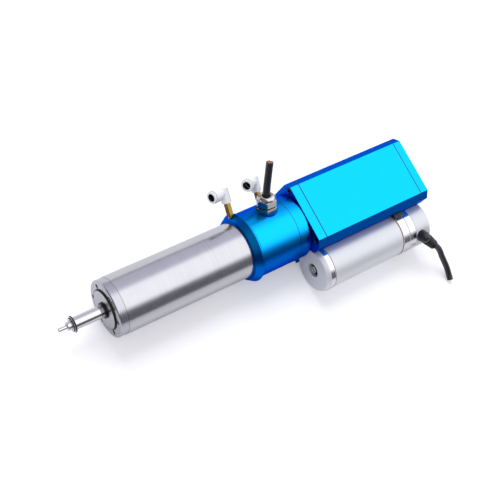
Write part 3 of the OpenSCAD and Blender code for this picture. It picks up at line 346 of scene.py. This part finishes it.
finishes = {
    "sleeve_steel": {
        "dark": (0.47, 0.47, 0.49), "light": (0.53, 0.53, 0.55), "metallic": 1, "rough": (0.20, 0.25),
        "pattern": "turned", "scale": 3400, "bump": 0.012, "scuff": 0.05,
    },
    "cap_steel": {
        "dark": (0.42, 0.42, 0.45), "light": (0.49, 0.49, 0.52), "metallic": 1, "rough": (0.22, 0.28),
        "pattern": "turned", "scale": 2600, "bump": 0.04, "scuff": 0.05,
    },
    "shaft_steel": {
        "dark": (0.56, 0.55, 0.54), "light": (0.66, 0.65, 0.64), "metallic": 1, "rough": (0.08, 0.14),
        "pattern": "turned", "scale": 3200, "bump": 0.02, "scuff": 0.05,
    },
    "dark_steel": {
        "dark": (0.015, 0.015, 0.017), "light": (0.04, 0.04, 0.042), "metallic": 1, "rough": (0.28, 0.42),
        "pattern": "turned", "scale": 2200, "bump": 0.06, "scuff": 0.1,
    },
    # the blue's colour for faces that look up is a painted highlight: lighter and more cyan on top
    "blue_anodised": {
        "dark": (0.0, 0.115, 0.50), "light": (0.0, 0.135, 0.56), "metallic": 1, "rough": (0.27, 0.33),
        "pattern": "grain", "scale": 5200, "bump": 0.04, "scuff": 0.03, "paintedTopColour": (0.0, 0.46, 0.97),
        "edge": (0.05, 0.35, 1.0),
    },
    "bare_aluminium": {
        "dark": (0.52, 0.53, 0.55), "light": (0.62, 0.63, 0.65), "metallic": 1, "rough": (0.28, 0.4),
        "pattern": "grain", "scale": 2600, "bump": 0.1, "scuff": 0.1,
    },
    "actuator_silver": {
        "dark": (0.66, 0.67, 0.71), "light": (0.73, 0.74, 0.78), "metallic": 0.3, "rough": (0.38, 0.44),
        "pattern": "grain", "scale": 4200, "bump": 0.06, "scuff": 0.03, "shift": actuatorShift,
    },
    "band_polish": {
        "dark": (0.62, 0.62, 0.65), "light": (0.72, 0.72, 0.75), "metallic": 1, "rough": (0.12, 0.2),
        "pattern": "turned", "scale": 2800, "bump": 0.02, "scuff": 0.03, "shift": actuatorShift,
    },
    "nickel": {
        "dark": (0.42, 0.41, 0.39), "light": (0.60, 0.59, 0.56), "metallic": 1, "rough": (0.07, 0.13),
        "pattern": "grain", "scale": 1500, "bump": 0.03, "scuff": 0.12,
    },
    "brass": {
        "dark": (0.30, 0.19, 0.04), "light": (0.46, 0.31, 0.08), "metallic": 1, "rough": (0.2, 0.3),
        "pattern": "grain", "scale": 2400, "bump": 0.06, "scuff": 0.1,
    },
    "bronze": {
        "dark": (0.52, 0.36, 0.14), "light": (0.70, 0.52, 0.24), "metallic": 1, "rough": (0.28, 0.4),
        "pattern": "turned", "scale": 2000, "bump": 0.1, "scuff": 0.15,
    },
    "copper": {
        "dark": (0.50, 0.20, 0.08), "light": (0.78, 0.38, 0.18), "metallic": 1, "rough": (0.22, 0.36),
        "pattern": "turned", "scale": 1300, "bump": 0.4, "scuff": 0,
    },
    "laminations": {
        "dark": (0.16, 0.17, 0.19), "light": (0.36, 0.37, 0.39), "metallic": 1, "rough": (0.4, 0.6),
        "pattern": "turned", "scale": 1000, "bump": 0.4, "scuff": 0,
    },
    "ceramic_magnet": {
        "dark": (0.05, 0.05, 0.055), "light": (0.10, 0.10, 0.11), "metallic": 0, "rough": (0.55, 0.75),
        "pattern": "grain", "scale": 1500, "bump": 0.3, "scuff": 0.1,
    },
    "black_rubber": {
        "dark": (0.006, 0.006, 0.008), "light": (0.016, 0.016, 0.019), "metallic": 0, "rough": (0.42, 0.58),
        "pattern": "grain", "scale": 2600, "bump": 0.3, "scuff": 0, "specular": 0.22,
    },
    "cable_jacket": {
        "dark": (0.006, 0.006, 0.009), "light": (0.014, 0.014, 0.018), "metallic": 0, "rough": (0.24, 0.34),
        "pattern": "grain", "scale": 3200, "bump": 0.12, "scuff": 0, "specular": 0.5,
    },
    "seal_brown": {
        "dark": (0.20, 0.07, 0.03), "light": (0.34, 0.14, 0.07), "metallic": 0, "rough": (0.5, 0.65),
        "pattern": "grain", "scale": 2400, "bump": 0.25, "scuff": 0,
    },
    "white_plastic": {
        "dark": (0.80, 0.81, 0.83), "light": (0.87, 0.88, 0.90), "metallic": 0, "rough": (0.28, 0.36),
        "pattern": "grain", "scale": 2000, "bump": 0.05, "scuff": 0,
    },
    "black_plastic": {
        "dark": (0.012, 0.012, 0.014), "light": (0.028, 0.028, 0.032), "metallic": 0, "rough": (0.4, 0.55),
        "pattern": "grain", "scale": 2600, "bump": 0.2, "scuff": 0,
    },
    "cage_plastic": {
        "dark": (0.28, 0.15, 0.06), "light": (0.42, 0.25, 0.12), "metallic": 0, "rough": (0.5, 0.65),
        "pattern": "grain", "scale": 1800, "bump": 0.3, "scuff": 0,
    },
    "circuit_board": {
        "dark": (0.01, 0.12, 0.05), "light": (0.03, 0.24, 0.11), "metallic": 0, "rough": (0.25, 0.4),
        "pattern": "grain", "scale": 900, "bump": 0.15, "scuff": 0,
    },
}
blendLook = {"fine": 0.6, "cloud": 0.4, "from": 0.35, "to": 0.65, "bumpDistance": 0.0001}
scuffTone = {"gain": 1.25, "lift": 0.03}
dustTone = {"amount": 0.15, "tone": (0.55, 0.55, 0.56)}


def placeGroup(tree, name, vector, scale=None):
    node = tree.nodes.new("ShaderNodeGroup")
    node.node_tree = shaderGroups[name]
    tree.links.new(vector, node.inputs["Vector"])
    if scale is not None:
        node.inputs["Scale"].default_value = scale
    return node


def mixColour(tree, share, first, second):
    node = tree.nodes.new("ShaderNodeMix")
    node.data_type = "RGBA"
    tree.links.new(share, node.inputs["Factor"])
    for socket, value in ((node.inputs["A"], first), (node.inputs["B"], second)):
        if isinstance(value, tuple):
            socket.default_value = (*value, 1)
        else:
            tree.links.new(value, socket)
    return node.outputs["Result"]


def makeFinish(name, finish):
    material = bpy.data.materials.new(name)
    material.use_nodes = True
    tree = material.node_tree
    shader = tree.nodes["Principled BSDF"]
    shader.inputs["Metallic"].default_value = finish["metallic"]
    shader.inputs["Specular IOR Level"].default_value = finish.get("specular", 0.5)
    shader.inputs["Specular Tint"].default_value = (*finish.get("edge", (1, 1, 1)), 1)
    coordinates = tree.nodes.new("ShaderNodeTexCoord")
    mapping = tree.nodes.new("ShaderNodeMapping")
    mapping.inputs["Location"].default_value = finish.get("shift", (0, 0, 0))
    tree.links.new(coordinates.outputs["Object"], mapping.inputs["Vector"])
    vector = mapping.outputs[0]
    pattern = placeGroup(tree, finish["pattern"], vector, finish["scale"])
    fine, cloud = pattern.outputs[0], pattern.outputs[1]
    fineShare = addMath(tree, "MULTIPLY", fine, blendLook["fine"])
    cloudShare = addMath(tree, "MULTIPLY", cloud, blendLook["cloud"])
    blend = addMath(tree, "ADD", fineShare, cloudShare)
    toneShare = mapValue(tree, blend, 0, 1, blendLook["from"], blendLook["to"])
    colour = mixColour(tree, toneShare, finish["dark"], finish["light"])
    # faces that look up take a lighter, more cyan colour: a painted highlight
    if "paintedTopColour" in finish:
        tone = tree.nodes.new("ShaderNodeGroup")
        tone.node_tree = shaderGroups["paintedTopLight"]
        colour = mixColour(tree, tone.outputs["Mask"], colour, finish["paintedTopColour"])
    least, most = finish["rough"]
    rough = mapValue(tree, blend, least, most, blendLook["from"], blendLook["to"])
    if finish["scuff"]:
        scuffs = placeGroup(tree, "scuffs", vector)
        amount = addMath(tree, "MULTIPLY", scuffs.outputs["Mask"], finish["scuff"])
        paler = tuple(min(1.0, value * scuffTone["gain"] + scuffTone["lift"]) for value in finish["light"])
        colour = mixColour(tree, amount, colour, paler)
        rough = addMath(tree, "ADD", rough, amount)
    dust = placeGroup(tree, "dust", vector)
    dustShare = addMath(tree, "MULTIPLY", dust.outputs["Mask"], dustTone["amount"])
    colour = mixColour(tree, dustShare, colour, dustTone["tone"])
    tree.links.new(colour, shader.inputs["Base Color"])
    tree.links.new(rough, shader.inputs["Roughness"])
    bump = tree.nodes.new("ShaderNodeBump")
    bump.inputs["Strength"].default_value = finish["bump"]
    bump.inputs["Distance"].default_value = blendLook["bumpDistance"]
    tree.links.new(fine, bump.inputs["Height"])
    tree.links.new(bump.outputs["Normal"], shader.inputs["Normal"])
    return material


materials = {name: makeFinish(name, finish) for name, finish in finishes.items()}
slotOf = {entry["node"]: entry["material_slot"] for entry in frame["record"]["subparts"]}
for nodeName, nodeObject in frame["nodes"].items():
    nodeObject.data.materials.clear()
    nodeObject.data.materials.append(materials[slotOf[nodeName]])
for cordPiece in (glandCordPiece, actuatorCordPiece):
    cordPiece.data.materials.append(materials["cable_jacket"])
print("finishes ready:", len(materials))

# helpers for new pieces


def addPiece(name, bm, finish, body, replaced=(), sharpAngle=32):
    mesh = bpy.data.meshes.new(name)
    bm.to_mesh(mesh)
    bm.free()
    for polygon in mesh.polygons:
        polygon.use_smooth = True
    mesh.set_sharp_from_angle(angle=math.radians(sharpAngle))
    mesh.materials.append(materials[finish])
    piece = bpy.data.objects.new(name, mesh)
    scene.collection.objects.link(piece)
    weighted = piece.modifiers.new("weighted", "WEIGHTED_NORMAL")
    weighted.keep_sharp = True
    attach(piece, body)
    if replaced:
        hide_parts(*replaced)
    return piece


def bevelSharp(bm, width, angle=30):
    limit = math.radians(angle)
    edges = [edge for edge in bm.edges if edge.is_manifold and edge.calc_face_angle(0) > limit]
    bmesh.ops.bevel(
        bm, geom=edges, offset=width * mm, offset_type="OFFSET",
        affect="EDGES", segments=2, profile=0.5, material=-1, clamp_overlap=True,
    )


def mergedCopy(name):
    # a copy of the node's mesh with its doubled points merged
    bm = bmesh.new()
    bm.from_mesh(frame["nodes"][name].data)
    bmesh.ops.remove_doubles(bm, verts=bm.verts, dist=0.002 * mm)
    return bm


def dressNode(name, body, width):
    # the copy with its flat faces joined and its edges softened
    bm = mergedCopy(name)
    bmesh.ops.dissolve_limit(bm, angle_limit=math.radians(0.3), verts=bm.verts, edges=bm.edges)
    bevelSharp(bm, width)
    addPiece(name + "Finished", bm, slotOf[name], body, (name,))


def spinOutline(outline, segments=128):
    # closed outline of (radius, height) turned about Z
    bm = bmesh.new()
    verts = [bm.verts.new((radius * mm, 0, height * mm)) for radius, height in outline]
    for first, second in zip(verts, verts[1:] + verts[:1]):
        if first.co.x > 0 or second.co.x > 0:
            bm.edges.new((first, second))
    bmesh.ops.spin(
        bm, geom=bm.verts[:] + bm.edges[:], cent=(0, 0, 0), axis=(0, 0, 1),
        angle=math.tau, steps=segments, use_merge=True,
    )
    bmesh.ops.remove_doubles(bm, verts=bm.verts, dist=0.001 * mm)
    bmesh.ops.recalc_face_normals(bm, faces=bm.faces)
    return bm


def ringOutline(inner, outer, low, high, edge):
    # a plain ring with its outer edges chamfered
    return [
        (inner, low), (outer - edge, low), (outer, low + edge),
        (outer, high - edge), (outer - edge, high), (inner, high),
    ]


def cutFlats(bm, halfWidth, turn):
    # six flats round Z, like a spanner hexagon
    for index in range(6):
        angle = math.radians(turn + 60 * index)
        normal = Vector((math.cos(angle), math.sin(angle), 0))
        cut = bmesh.ops.bisect_plane(
            bm, geom=bm.verts[:] + bm.edges[:] + bm.faces[:], dist=0.0001 * mm,
            plane_co=normal * halfWidth * mm, plane_no=normal, clear_outer=True,
        )
        edges = [item for item in cut["geom_cut"] if isinstance(item, bmesh.types.BMEdge)]
        bmesh.ops.edgenet_fill(bm, edges=edges)
    bmesh.ops.recalc_face_normals(bm, faces=bm.faces)


# solids with softened edges, and the width of each softening

housingPieces = {
    "clamp_sleeve": 0.25, "front_cap": 0.2, "nose_cover": 0.15, "connection_housing": 0.3,
    "tail_cover": 0.2, "front_plate": 0.3, "box_shell": 0.15, "rear_plate": 0.3, "actuator_tube": 0.2,
    "actuator_front_cap": 0.25, "gear_band": 0.2, "rear_band": 0.2, "actuator_rear_cap": 0.25,
    "nose_screws": 0.1, "plate_screws": 0.15, "seal_rings": 0.1, "gear_guard": 0.3,
    "air_stem_1": 0.1, "air_stem_2": 0.1,
}
for nodeName, width in housingPieces.items():
    dressNode(nodeName, "housing", width)
print("housing dressed")

movingPieces = {
    "spindle_shaft": ("spindle_rotor", 0.1), "slinger_disc": ("spindle_rotor", 0.15),
    "nose_collar": ("spindle_rotor", 0.15), "collet": ("drawbar_set", 0.08), "tool_pin": ("tool", 0.1),
    "elbow_1": ("front_elbow", 0.25), "elbow_2": ("rear_elbow", 0.25),
    "release_collar_1": ("front_release_collar", 0.2), "release_collar_2": ("rear_release_collar", 0.2),
}
for nodeName, (body, width) in movingPieces.items():
    dressNode(nodeName, body, width)
print("moving pieces dressed")

# dark strips at the seams, painted shade of the seam grooves: slices of the walls, a touch proud of them

seams = {
    "shellFrontSeamShade": {"node": "box_shell", "from": 157.4, "to": 158.4, "proud": 1.0016},
    "shellRearSeamShade": {"node": "box_shell", "from": 291.6, "to": 292.6, "proud": 1.0016},
    "tailSeamShade": {"node": "connection_housing", "from": 131.4, "to": 132.1, "proud": 1.0016},
}


def cutAcross(bm, station, direction):
    cut = bmesh.ops.bisect_plane(
        bm, geom=bm.verts[:] + bm.edges[:] + bm.faces[:], dist=0.0001 * mm,
        plane_co=(station * mm, 0, 0), plane_no=(direction, 0, 0), clear_outer=True,
    )
    edges = [item for item in cut["geom_cut"] if isinstance(item, bmesh.types.BMEdge)]
    bmesh.ops.triangle_fill(bm, edges=edges, use_beauty=True)


def makeSeam(name, seam):
    bm = mergedCopy(seam["node"])
    cutAcross(bm, seam["to"], 1)
    cutAcross(bm, seam["from"], -1)
    bmesh.ops.scale(bm, verts=bm.verts, vec=(1, seam["proud"], seam["proud"]))
    bmesh.ops.recalc_face_normals(bm, faces=bm.faces)
    # black rubber here is painted shade in the seam
    addPiece(name, bm, "black_rubber", "housing")


for seamName, seam in seams.items():
    makeSeam(seamName, seam)
print("seams made")

# rings at the nose

noseRings = {
    # black ring round the nose cover's side: a seal, and also painted shade of the cover's side wall; its
    # flange on the cap's face is painted shadow in the groove round the cover
    "coverSealAndShadow": {"body": "housing", "finish": "black_rubber",
                  "outline": [(20.4, -84.95), (21.1, -84.95), (21.35, -84.7), (21.35, -83.8), (21.9, -83.62),
                              (21.9, -83.4), (20.4, -83.4)]},
    "slingerRim": {"body": "spindle_rotor", "finish": "black_rubber",
                   "outline": [(8.2, -120.25), (8.6, -120.2), (8.75, -120.0), (8.75, -118.9), (8.6, -118.7),
                               (8.2, -118.7)]},
    "slingerFace": {"body": "spindle_rotor", "finish": "shaft_steel",
                    "outline": [(6.8, -120.42), (7.95, -120.42), (8.1, -120.3), (6.8, -120.3)]},
    "lipRing": {"body": "spindle_rotor", "finish": "black_rubber",
                "outline": [(6.6, -121.45), (6.95, -121.35), (7.1, -121.0), (7.0, -120.6), (6.6, -120.5)]},
}
for ringName, ring in noseRings.items():
    ringMesh = spinOutline(ring["outline"], 160)
    ringMesh.transform(axisPlace)
    addPiece(ringName, ringMesh, ring["finish"], ring["body"])
print("nose rings made")

# polished bands round the actuator, and a black disc in the recess of its front cap: painted shade on the
# recess floor

bands = {
    "frontBandShine": (154.3, 160.3), "gearBandShine": (259.3, 268.2), "rearBandShine": (268.8, 277.8),
}
bandReach = {"inner": 25.8, "outer": 26.54, "edge": 0.25}
recessShade = {"inner": 4.4, "outer": 7.85, "front": 153.8, "back": 154.45}

actuatorPlace = Matrix.Translation((0, actuatorY, actuatorZ)) @ axisPlace
for bandName, (start, end) in bands.items():
    outline = ringOutline(bandReach["inner"], bandReach["outer"], start, end, bandReach["edge"])
    bandMesh = spinOutline(outline, 160)
    bandMesh.transform(actuatorPlace)
    addPiece(bandName, bandMesh, "band_polish", "housing")
# black disc on the recess floor, painted shade where the recess's rim shades its floor
recessShadeMesh = spinOutline([
    (recessShade["inner"], recessShade["front"]), (recessShade["outer"], recessShade["front"]),
    (recessShade["outer"], recessShade["back"]), (recessShade["inner"], recessShade["back"]),
], 96)
recessShadeMesh.transform(actuatorPlace)
addPiece("recessPaintedShade", recessShadeMesh, "black_rubber", "housing")
print("actuator bands made")

# dark insides of the push-in elbows: a black collet lining and a black seal at the seat, their own colour
# and also painted shade deep in the bores

ports = {
    "front": {"x": 78, "seat": 37.2, "turn": 16, "elbow": "front_elbow", "collar": "front_release_collar"},
    "rear": {"x": 116, "seat": 36.0, "turn": 34, "elbow": "rear_elbow", "collar": "rear_release_collar"},
}
port = {
    "lean": -63, "height": 26.8,
    "bore": 4.28, "wall": 0.35, "lip": 0.2, "lipDepth": 0.3, "liningStart": 12.8, "liningEnd": 18.95,
    "seat": 7.55,
    "cup": [(1.2, 0), (3.95, 0), (3.95, 3.6), (3.7, 3.7), (3.3, 3.2), (3.2, 0.9), (1.2, 0.8)],
}


def makePortInsides(side, values):
    place = Matrix.Translation((values["x"] * mm, 0, 0))
    place = place @ Matrix.Rotation(math.radians(port["lean"]), 4, "X")
    place = place @ Matrix.Translation((0, 0, (values["seat"] + port["height"]) * mm))
    place = place @ Matrix.Rotation(math.radians(180 + values["turn"]), 4, "Z") @ axisPlace
    start = port["liningStart"]
    end = port["liningEnd"]
    bore = port["bore"]
    inner = bore - port["wall"]
    lining = spinOutline([
        (inner, start), (bore, start), (bore, end), (bore - port["lip"], end),
        (inner, end - port["lipDepth"]),
    ], 64)
    lining.transform(place)
    addPiece(side + "CollarLiningAndShade", lining, "black_plastic", values["collar"])
    # the black cup closes the bore at the seat: partly a seal, partly painted shade of the empty bore
    cup = spinOutline([(radius, port["seat"] + height) for radius, height in port["cup"]], 64)
    cup.transform(place)
    addPiece(side + "TubeSealAndShade", cup, "black_rubber", values["elbow"])


for side, values in ports.items():
    makePortInsides(side, values)
print("elbow insides made")

# cable gland

gland = {
    "flats": 10.0, "turn": 30, "corner": 11.4, "chamfer": 0.9, "edge": 0.15, "edgeAngle": 35,
    "hexBottom": 36.3, "hexTop": 41.8, "hexBore": 8.0,
    "nutBottom": 43.3, "nutTop": 49.8, "nutBore": 8.2,
    "domeEdge": 0.2, "domeEdgeAngle": 40,
}
# the dome's outline as (radius, height over the nut)
domeOutline = [
    (4.9, -1), (9.6, -0.5), (9.6, 0.8), (9.3, 2.1), (8.6, 3.2), (7.6, 4.1), (6.6, 4.5), (5.4, 4.5), (4.9, 4),
]
glandThread = {
    "foot": 7.0, "footHeight": gland["nutTop"] - 9, "core": 7.35, "crest": 7.9,
    "start": gland["nutTop"] - 8.6, "end": gland["nutBottom"] - 0.1,
    "pitch": 0.75, "crestAt": 0.35, "coreAt": 0.7,
}
glandSeals = {
    "glandWasher": {"low": gland["hexBottom"] - 0.3, "high": gland["hexBottom"] + 0.5, "reach": 10.9},
    "glandSealRing": {"low": gland["hexTop"] + 0.05, "high": gland["nutBottom"] - 0.05, "reach": 9.5},
}
sealReach = {"inner": 7.9, "edge": 0.2}


def makeHexagon(name, node, bottom, top, bore):
    corner = gland["corner"]
    chamfer = gland["chamfer"]
    bm = spinOutline([
        (bore, bottom), (corner - chamfer, bottom), (corner, bottom + chamfer * 0.5),
        (corner, top - chamfer * 0.5), (corner - chamfer, top), (bore, top),
    ])
    cutFlats(bm, gland["flats"], gland["turn"])
    bevelSharp(bm, gland["edge"], gland["edgeAngle"])
    bm.transform(glandPlace)
    addPiece(name, bm, "nickel", "housing", (node,))


def makeDome():
    bm = spinOutline([(radius, gland["nutTop"] + height) for radius, height in domeOutline])
    bevelSharp(bm, gland["domeEdge"], gland["domeEdgeAngle"])
    bm.transform(glandPlace)
    addPiece("glandDome", bm, "nickel", "housing")


def makeThread():
    foot = glandThread["foot"]
    core = glandThread["core"]
    crest = glandThread["crest"]
    height = glandThread["start"]
    outline = [(foot, glandThread["footHeight"])]
    while height < glandThread["end"]:
        crestHeight = height + glandThread["crestAt"]
        coreHeight = height + glandThread["coreAt"]
        outline += [(core, height), (crest, crestHeight), (core, coreHeight)]
        height += glandThread["pitch"]
    outline += [(foot, height)]
    bm = spinOutline(outline, 96)
    bm.transform(glandPlace)
    addPiece("glandThread", bm, "nickel", "housing")


def makeGlandSeals():
    inner = sealReach["inner"]
    edge = sealReach["edge"]
    for name, seal in glandSeals.items():
        bm = spinOutline(ringOutline(inner, seal["reach"], seal["low"], seal["high"], edge), 96)
        bm.transform(glandPlace)
        addPiece(name, bm, "black_rubber", "housing")


makeHexagon("glandBody", "gland_body", gland["hexBottom"], gland["hexTop"], gland["hexBore"])
makeHexagon("glandNut", "gland_nut", gland["nutBottom"], gland["nutTop"], gland["nutBore"])
makeDome()
makeThread()
makeGlandSeals()
print("gland made")

# strain relief of the actuator's cable

relief = {
    "lean": 48, "x": 285.1, "surface": 26.5, "turn": -48.5, "sharpAngle": 50,
    "base": [
        (0, -0.8), (6.9, -0.8), (6.9, 1.2), (6.4, 2.2), (6.55, 4.2), (6.6, 6.3), (5.64, 8.4),
        (4.32, 10.1), (2.4, 11.1), (0, 11.4),
    ],
    "tailHeight": 5.0, "neckRadius": 5.2, "neckLength": 4.4,
    "ribCount": 5, "ribStart": 4.9, "ribPitch": 3.7, "ribReach": 6.4, "reachStep": 0.22,
    "ribCore": 4.3, "coreStep": 0.1, "ribRound": 0.6, "ribStations": (0, 0.3, 0.9, 1.6, 2.2, 2.5),
    "endRadius": 4.2, "cable": 3.5, "cableGap": 0.25, "endRound": 0.3,
}


def makeRelief():
    place = Matrix.Translation((relief["x"] * mm, actuatorY, actuatorZ))
    place = place @ Matrix.Rotation(math.radians(relief["lean"]), 4, "X")
    place = place @ Matrix.Translation((0, 0, relief["surface"] * mm))
    base = spinOutline(relief["base"])
    base.transform(place)
    addPiece("reliefBase", base, "cable_jacket", "housing", ("strain_relief",), relief["sharpAngle"])
    tailPlace = place @ Matrix.Translation((0, 0, relief["tailHeight"] * mm))
    tailPlace = tailPlace @ Matrix.Rotation(math.radians(relief["turn"]), 4, "Z") @ axisPlace
    outline = [(0, 0), (relief["neckRadius"], 0), (relief["neckRadius"], relief["neckLength"])]
    station = relief["ribStart"]
    for rib in range(relief["ribCount"]):
        reach = relief["ribReach"] - rib * relief["reachStep"]
        core = relief["ribCore"] - rib * relief["coreStep"]
        side = reach - relief["ribRound"]
        radii = (core, side, reach, reach, side, core)
        outline += [(radius, station + along) for radius, along in zip(radii, relief["ribStations"])]
        station += relief["ribPitch"]
    end = station + relief["endRound"]
    outline += [(relief["endRadius"], station), (relief["cable"] + relief["cableGap"], end), (0, end)]
    tail = spinOutline(outline, 64)
    tail.transform(tailPlace)
    addPiece("reliefTail", tail, "cable_jacket", "housing", (), relief["sharpAngle"])


makeRelief()
print("strain relief made")

# cut ends of the cables: insulated cores with copper in them

# ring and share are parts of the cable's radius

coreEnd = {"count": 4, "ring": 0.48, "depth": 0.6, "proud": 0.35, "edge": 0.1}
coreLayers = {
    "Cores": {"share": 0.30, "lift": 0, "finish": "cage_plastic"},
    "Copper": {"share": 0.17, "lift": 0.12, "finish": "copper"},
}


def makeCoreEnds(name, cord, route):
    ahead = (route[-1] - route[-2]).normalized()
    place = Matrix.Translation(route[-1]) @ ahead.to_track_quat("Z", "Y").to_matrix().to_4x4()
    depth = coreEnd["depth"]
    edge = coreEnd["edge"]
    offset = cord["radius"] * coreEnd["ring"] * mm
    pieces = []
    for part, layer in coreLayers.items():
        reach = cord["radius"] * layer["share"]
        top = coreEnd["proud"] + layer["lift"]
        outline = [(0, -depth), (reach, -depth), (reach, top - edge), (reach - edge, top), (0, top)]
        whole = bmesh.new()
        for index in range(coreEnd["count"]):
            core = spinOutline(outline, 24)
            angle = math.tau * (index + 0.5) / coreEnd["count"]
            core.transform(Matrix.Translation((math.cos(angle) * offset, math.sin(angle) * offset, 0)))
            core.transform(place)
            mesh = bpy.data.meshes.new("core")
            core.to_mesh(mesh)
            core.free()
            whole.from_mesh(mesh)
            bpy.data.meshes.remove(mesh)
        pieces.append(addPiece(name + part, whole, layer["finish"], "housing"))
    return pieces


spindleEnds = makeCoreEnds("spindleCord", spindleCord, glandRoute)
actuatorEnds = makeCoreEnds("actuatorCord", actuatorCord, actuatorRoute)
print("cable ends made")

# floor, lamp and surroundings
# stops are (position, level), horizon and ahead (low, high, from, to)

studio = {
    "floorHeight": cadBox[0][2], "floorHalf": 20.0, "floorTone": (0.93, 0.93, 0.965), "floorRough": 0.9,
    "floorSpecular": 0.1, "floorLift": 0.24,
    "keyPlace": (0.15, 0.85, 1.25), "keyAim": (0.08, 0, 0), "keyPower": 13.0, "keySize": 0.9,
    "ambient": 0.72, "ambientTone": (0.96, 0.96, 1.0),
    "stops": [(0.0, 0.16), (0.13, 0.19), (0.22, 1.7), (0.70, 1.7), (0.80, 0.85), (1.0, 0.75)],
    "brightCast": 1.04, "dimCast": 1.2,
    "horizon": (0.4, 1, 0.03, 0.13), "ahead": (0.16, 1, -0.45, -0.12),
}


def makeFloor():
    bm = bmesh.new()
    bmesh.ops.create_grid(bm, x_segments=1, y_segments=1, size=studio["floorHalf"])
    bmesh.ops.translate(bm, verts=bm.verts, vec=(0, 0, studio["floorHeight"]))
    mesh = bpy.data.meshes.new("floor")
    bm.to_mesh(mesh)
    bm.free()
    floor = bpy.data.objects.new("floor", mesh)
    scene.collection.objects.link(floor)
    material = bpy.data.materials.new("paleFloor")
    material.use_nodes = True
    tree = material.node_tree
    shader = tree.nodes["Principled BSDF"]
    shader.inputs["Base Color"].default_value = (*studio["floorTone"], 1)
    shader.inputs["Roughness"].default_value = studio["floorRough"]
    shader.inputs["Specular IOR Level"].default_value = studio["floorSpecular"]
    shader.inputs["Emission Color"].default_value = (1, 1, 1, 1)
    path = tree.nodes.new("ShaderNodeLightPath")
    lift = addMath(tree, "MULTIPLY", path.outputs["Is Camera Ray"], studio["floorLift"])
    tree.links.new(lift, shader.inputs["Emission Strength"])
    mesh.materials.append(material)


def makeKeyLamp():
    data = bpy.data.lights.new("key", "AREA")
    data.energy = studio["keyPower"]
    data.size = studio["keySize"]
    lamp = bpy.data.objects.new("key", data)
    scene.collection.objects.link(lamp)
    lamp.location = studio["keyPlace"]
    direction = Vector(studio["keyAim"]) - Vector(studio["keyPlace"])
    lamp.rotation_euler = direction.to_track_quat("-Z", "Y").to_euler()
    lamp.visible_glossy = False


def makeSurroundings():
    # white to the camera, an overhead softbox and darker sides to polished metal
    world = bpy.data.worlds.new("studio")
    scene.world = world
    world.use_nodes = True
    tree = world.node_tree
    background = tree.nodes["Background"]
    coordinates = tree.nodes.new("ShaderNodeTexCoord")
    split = tree.nodes.new("ShaderNodeSeparateXYZ")
    tree.links.new(coordinates.outputs["Generated"], split.inputs[0])
    side = tree.nodes.new("ShaderNodeValToRGB")
    tree.links.new(mapValue(tree, split.outputs["Y"], 0, 1, -1, 1), side.inputs["Fac"])
    stops = studio["stops"]
    ramp = side.color_ramp
    while len(ramp.elements) < len(stops):
        ramp.elements.new(0.5)
    for element, (position, level) in zip(ramp.elements, stops):
        cast = studio["brightCast"] if level > 1 else studio["dimCast"]
        element.position = position
        element.color = (level, level, level * cast, 1)
    horizon = mapValue(tree, split.outputs["Z"], *studio["horizon"])
    ahead = mapValue(tree, split.outputs["X"], *studio["ahead"])
    shade = addMath(tree, "MULTIPLY", horizon, ahead)
    studioLight = tree.nodes.new("ShaderNodeMix")
    studioLight.data_type = "RGBA"
    studioLight.blend_type = "MULTIPLY"
    studioLight.inputs["Factor"].default_value = 1
    tree.links.new(side.outputs["Color"], studioLight.inputs["A"])
    tree.links.new(shade, studioLight.inputs["B"])
    path = tree.nodes.new("ShaderNodeLightPath")
    ambient = tuple(value * studio["ambient"] for value in studio["ambientTone"])
    shiny = addMath(tree, "MAXIMUM", path.outputs["Is Glossy Ray"], path.outputs["Is Transmission Ray"])
    seen = mixColour(tree, shiny, ambient, studioLight.outputs["Result"])
    seen = mixColour(tree, path.outputs["Is Camera Ray"], seen, (1.0, 1.0, 1.0))
    tree.links.new(seen, background.inputs["Color"])


makeFloor()
makeKeyLamp()
makeSurroundings()
scene.view_settings.view_transform = "Standard"
print("studio ready")
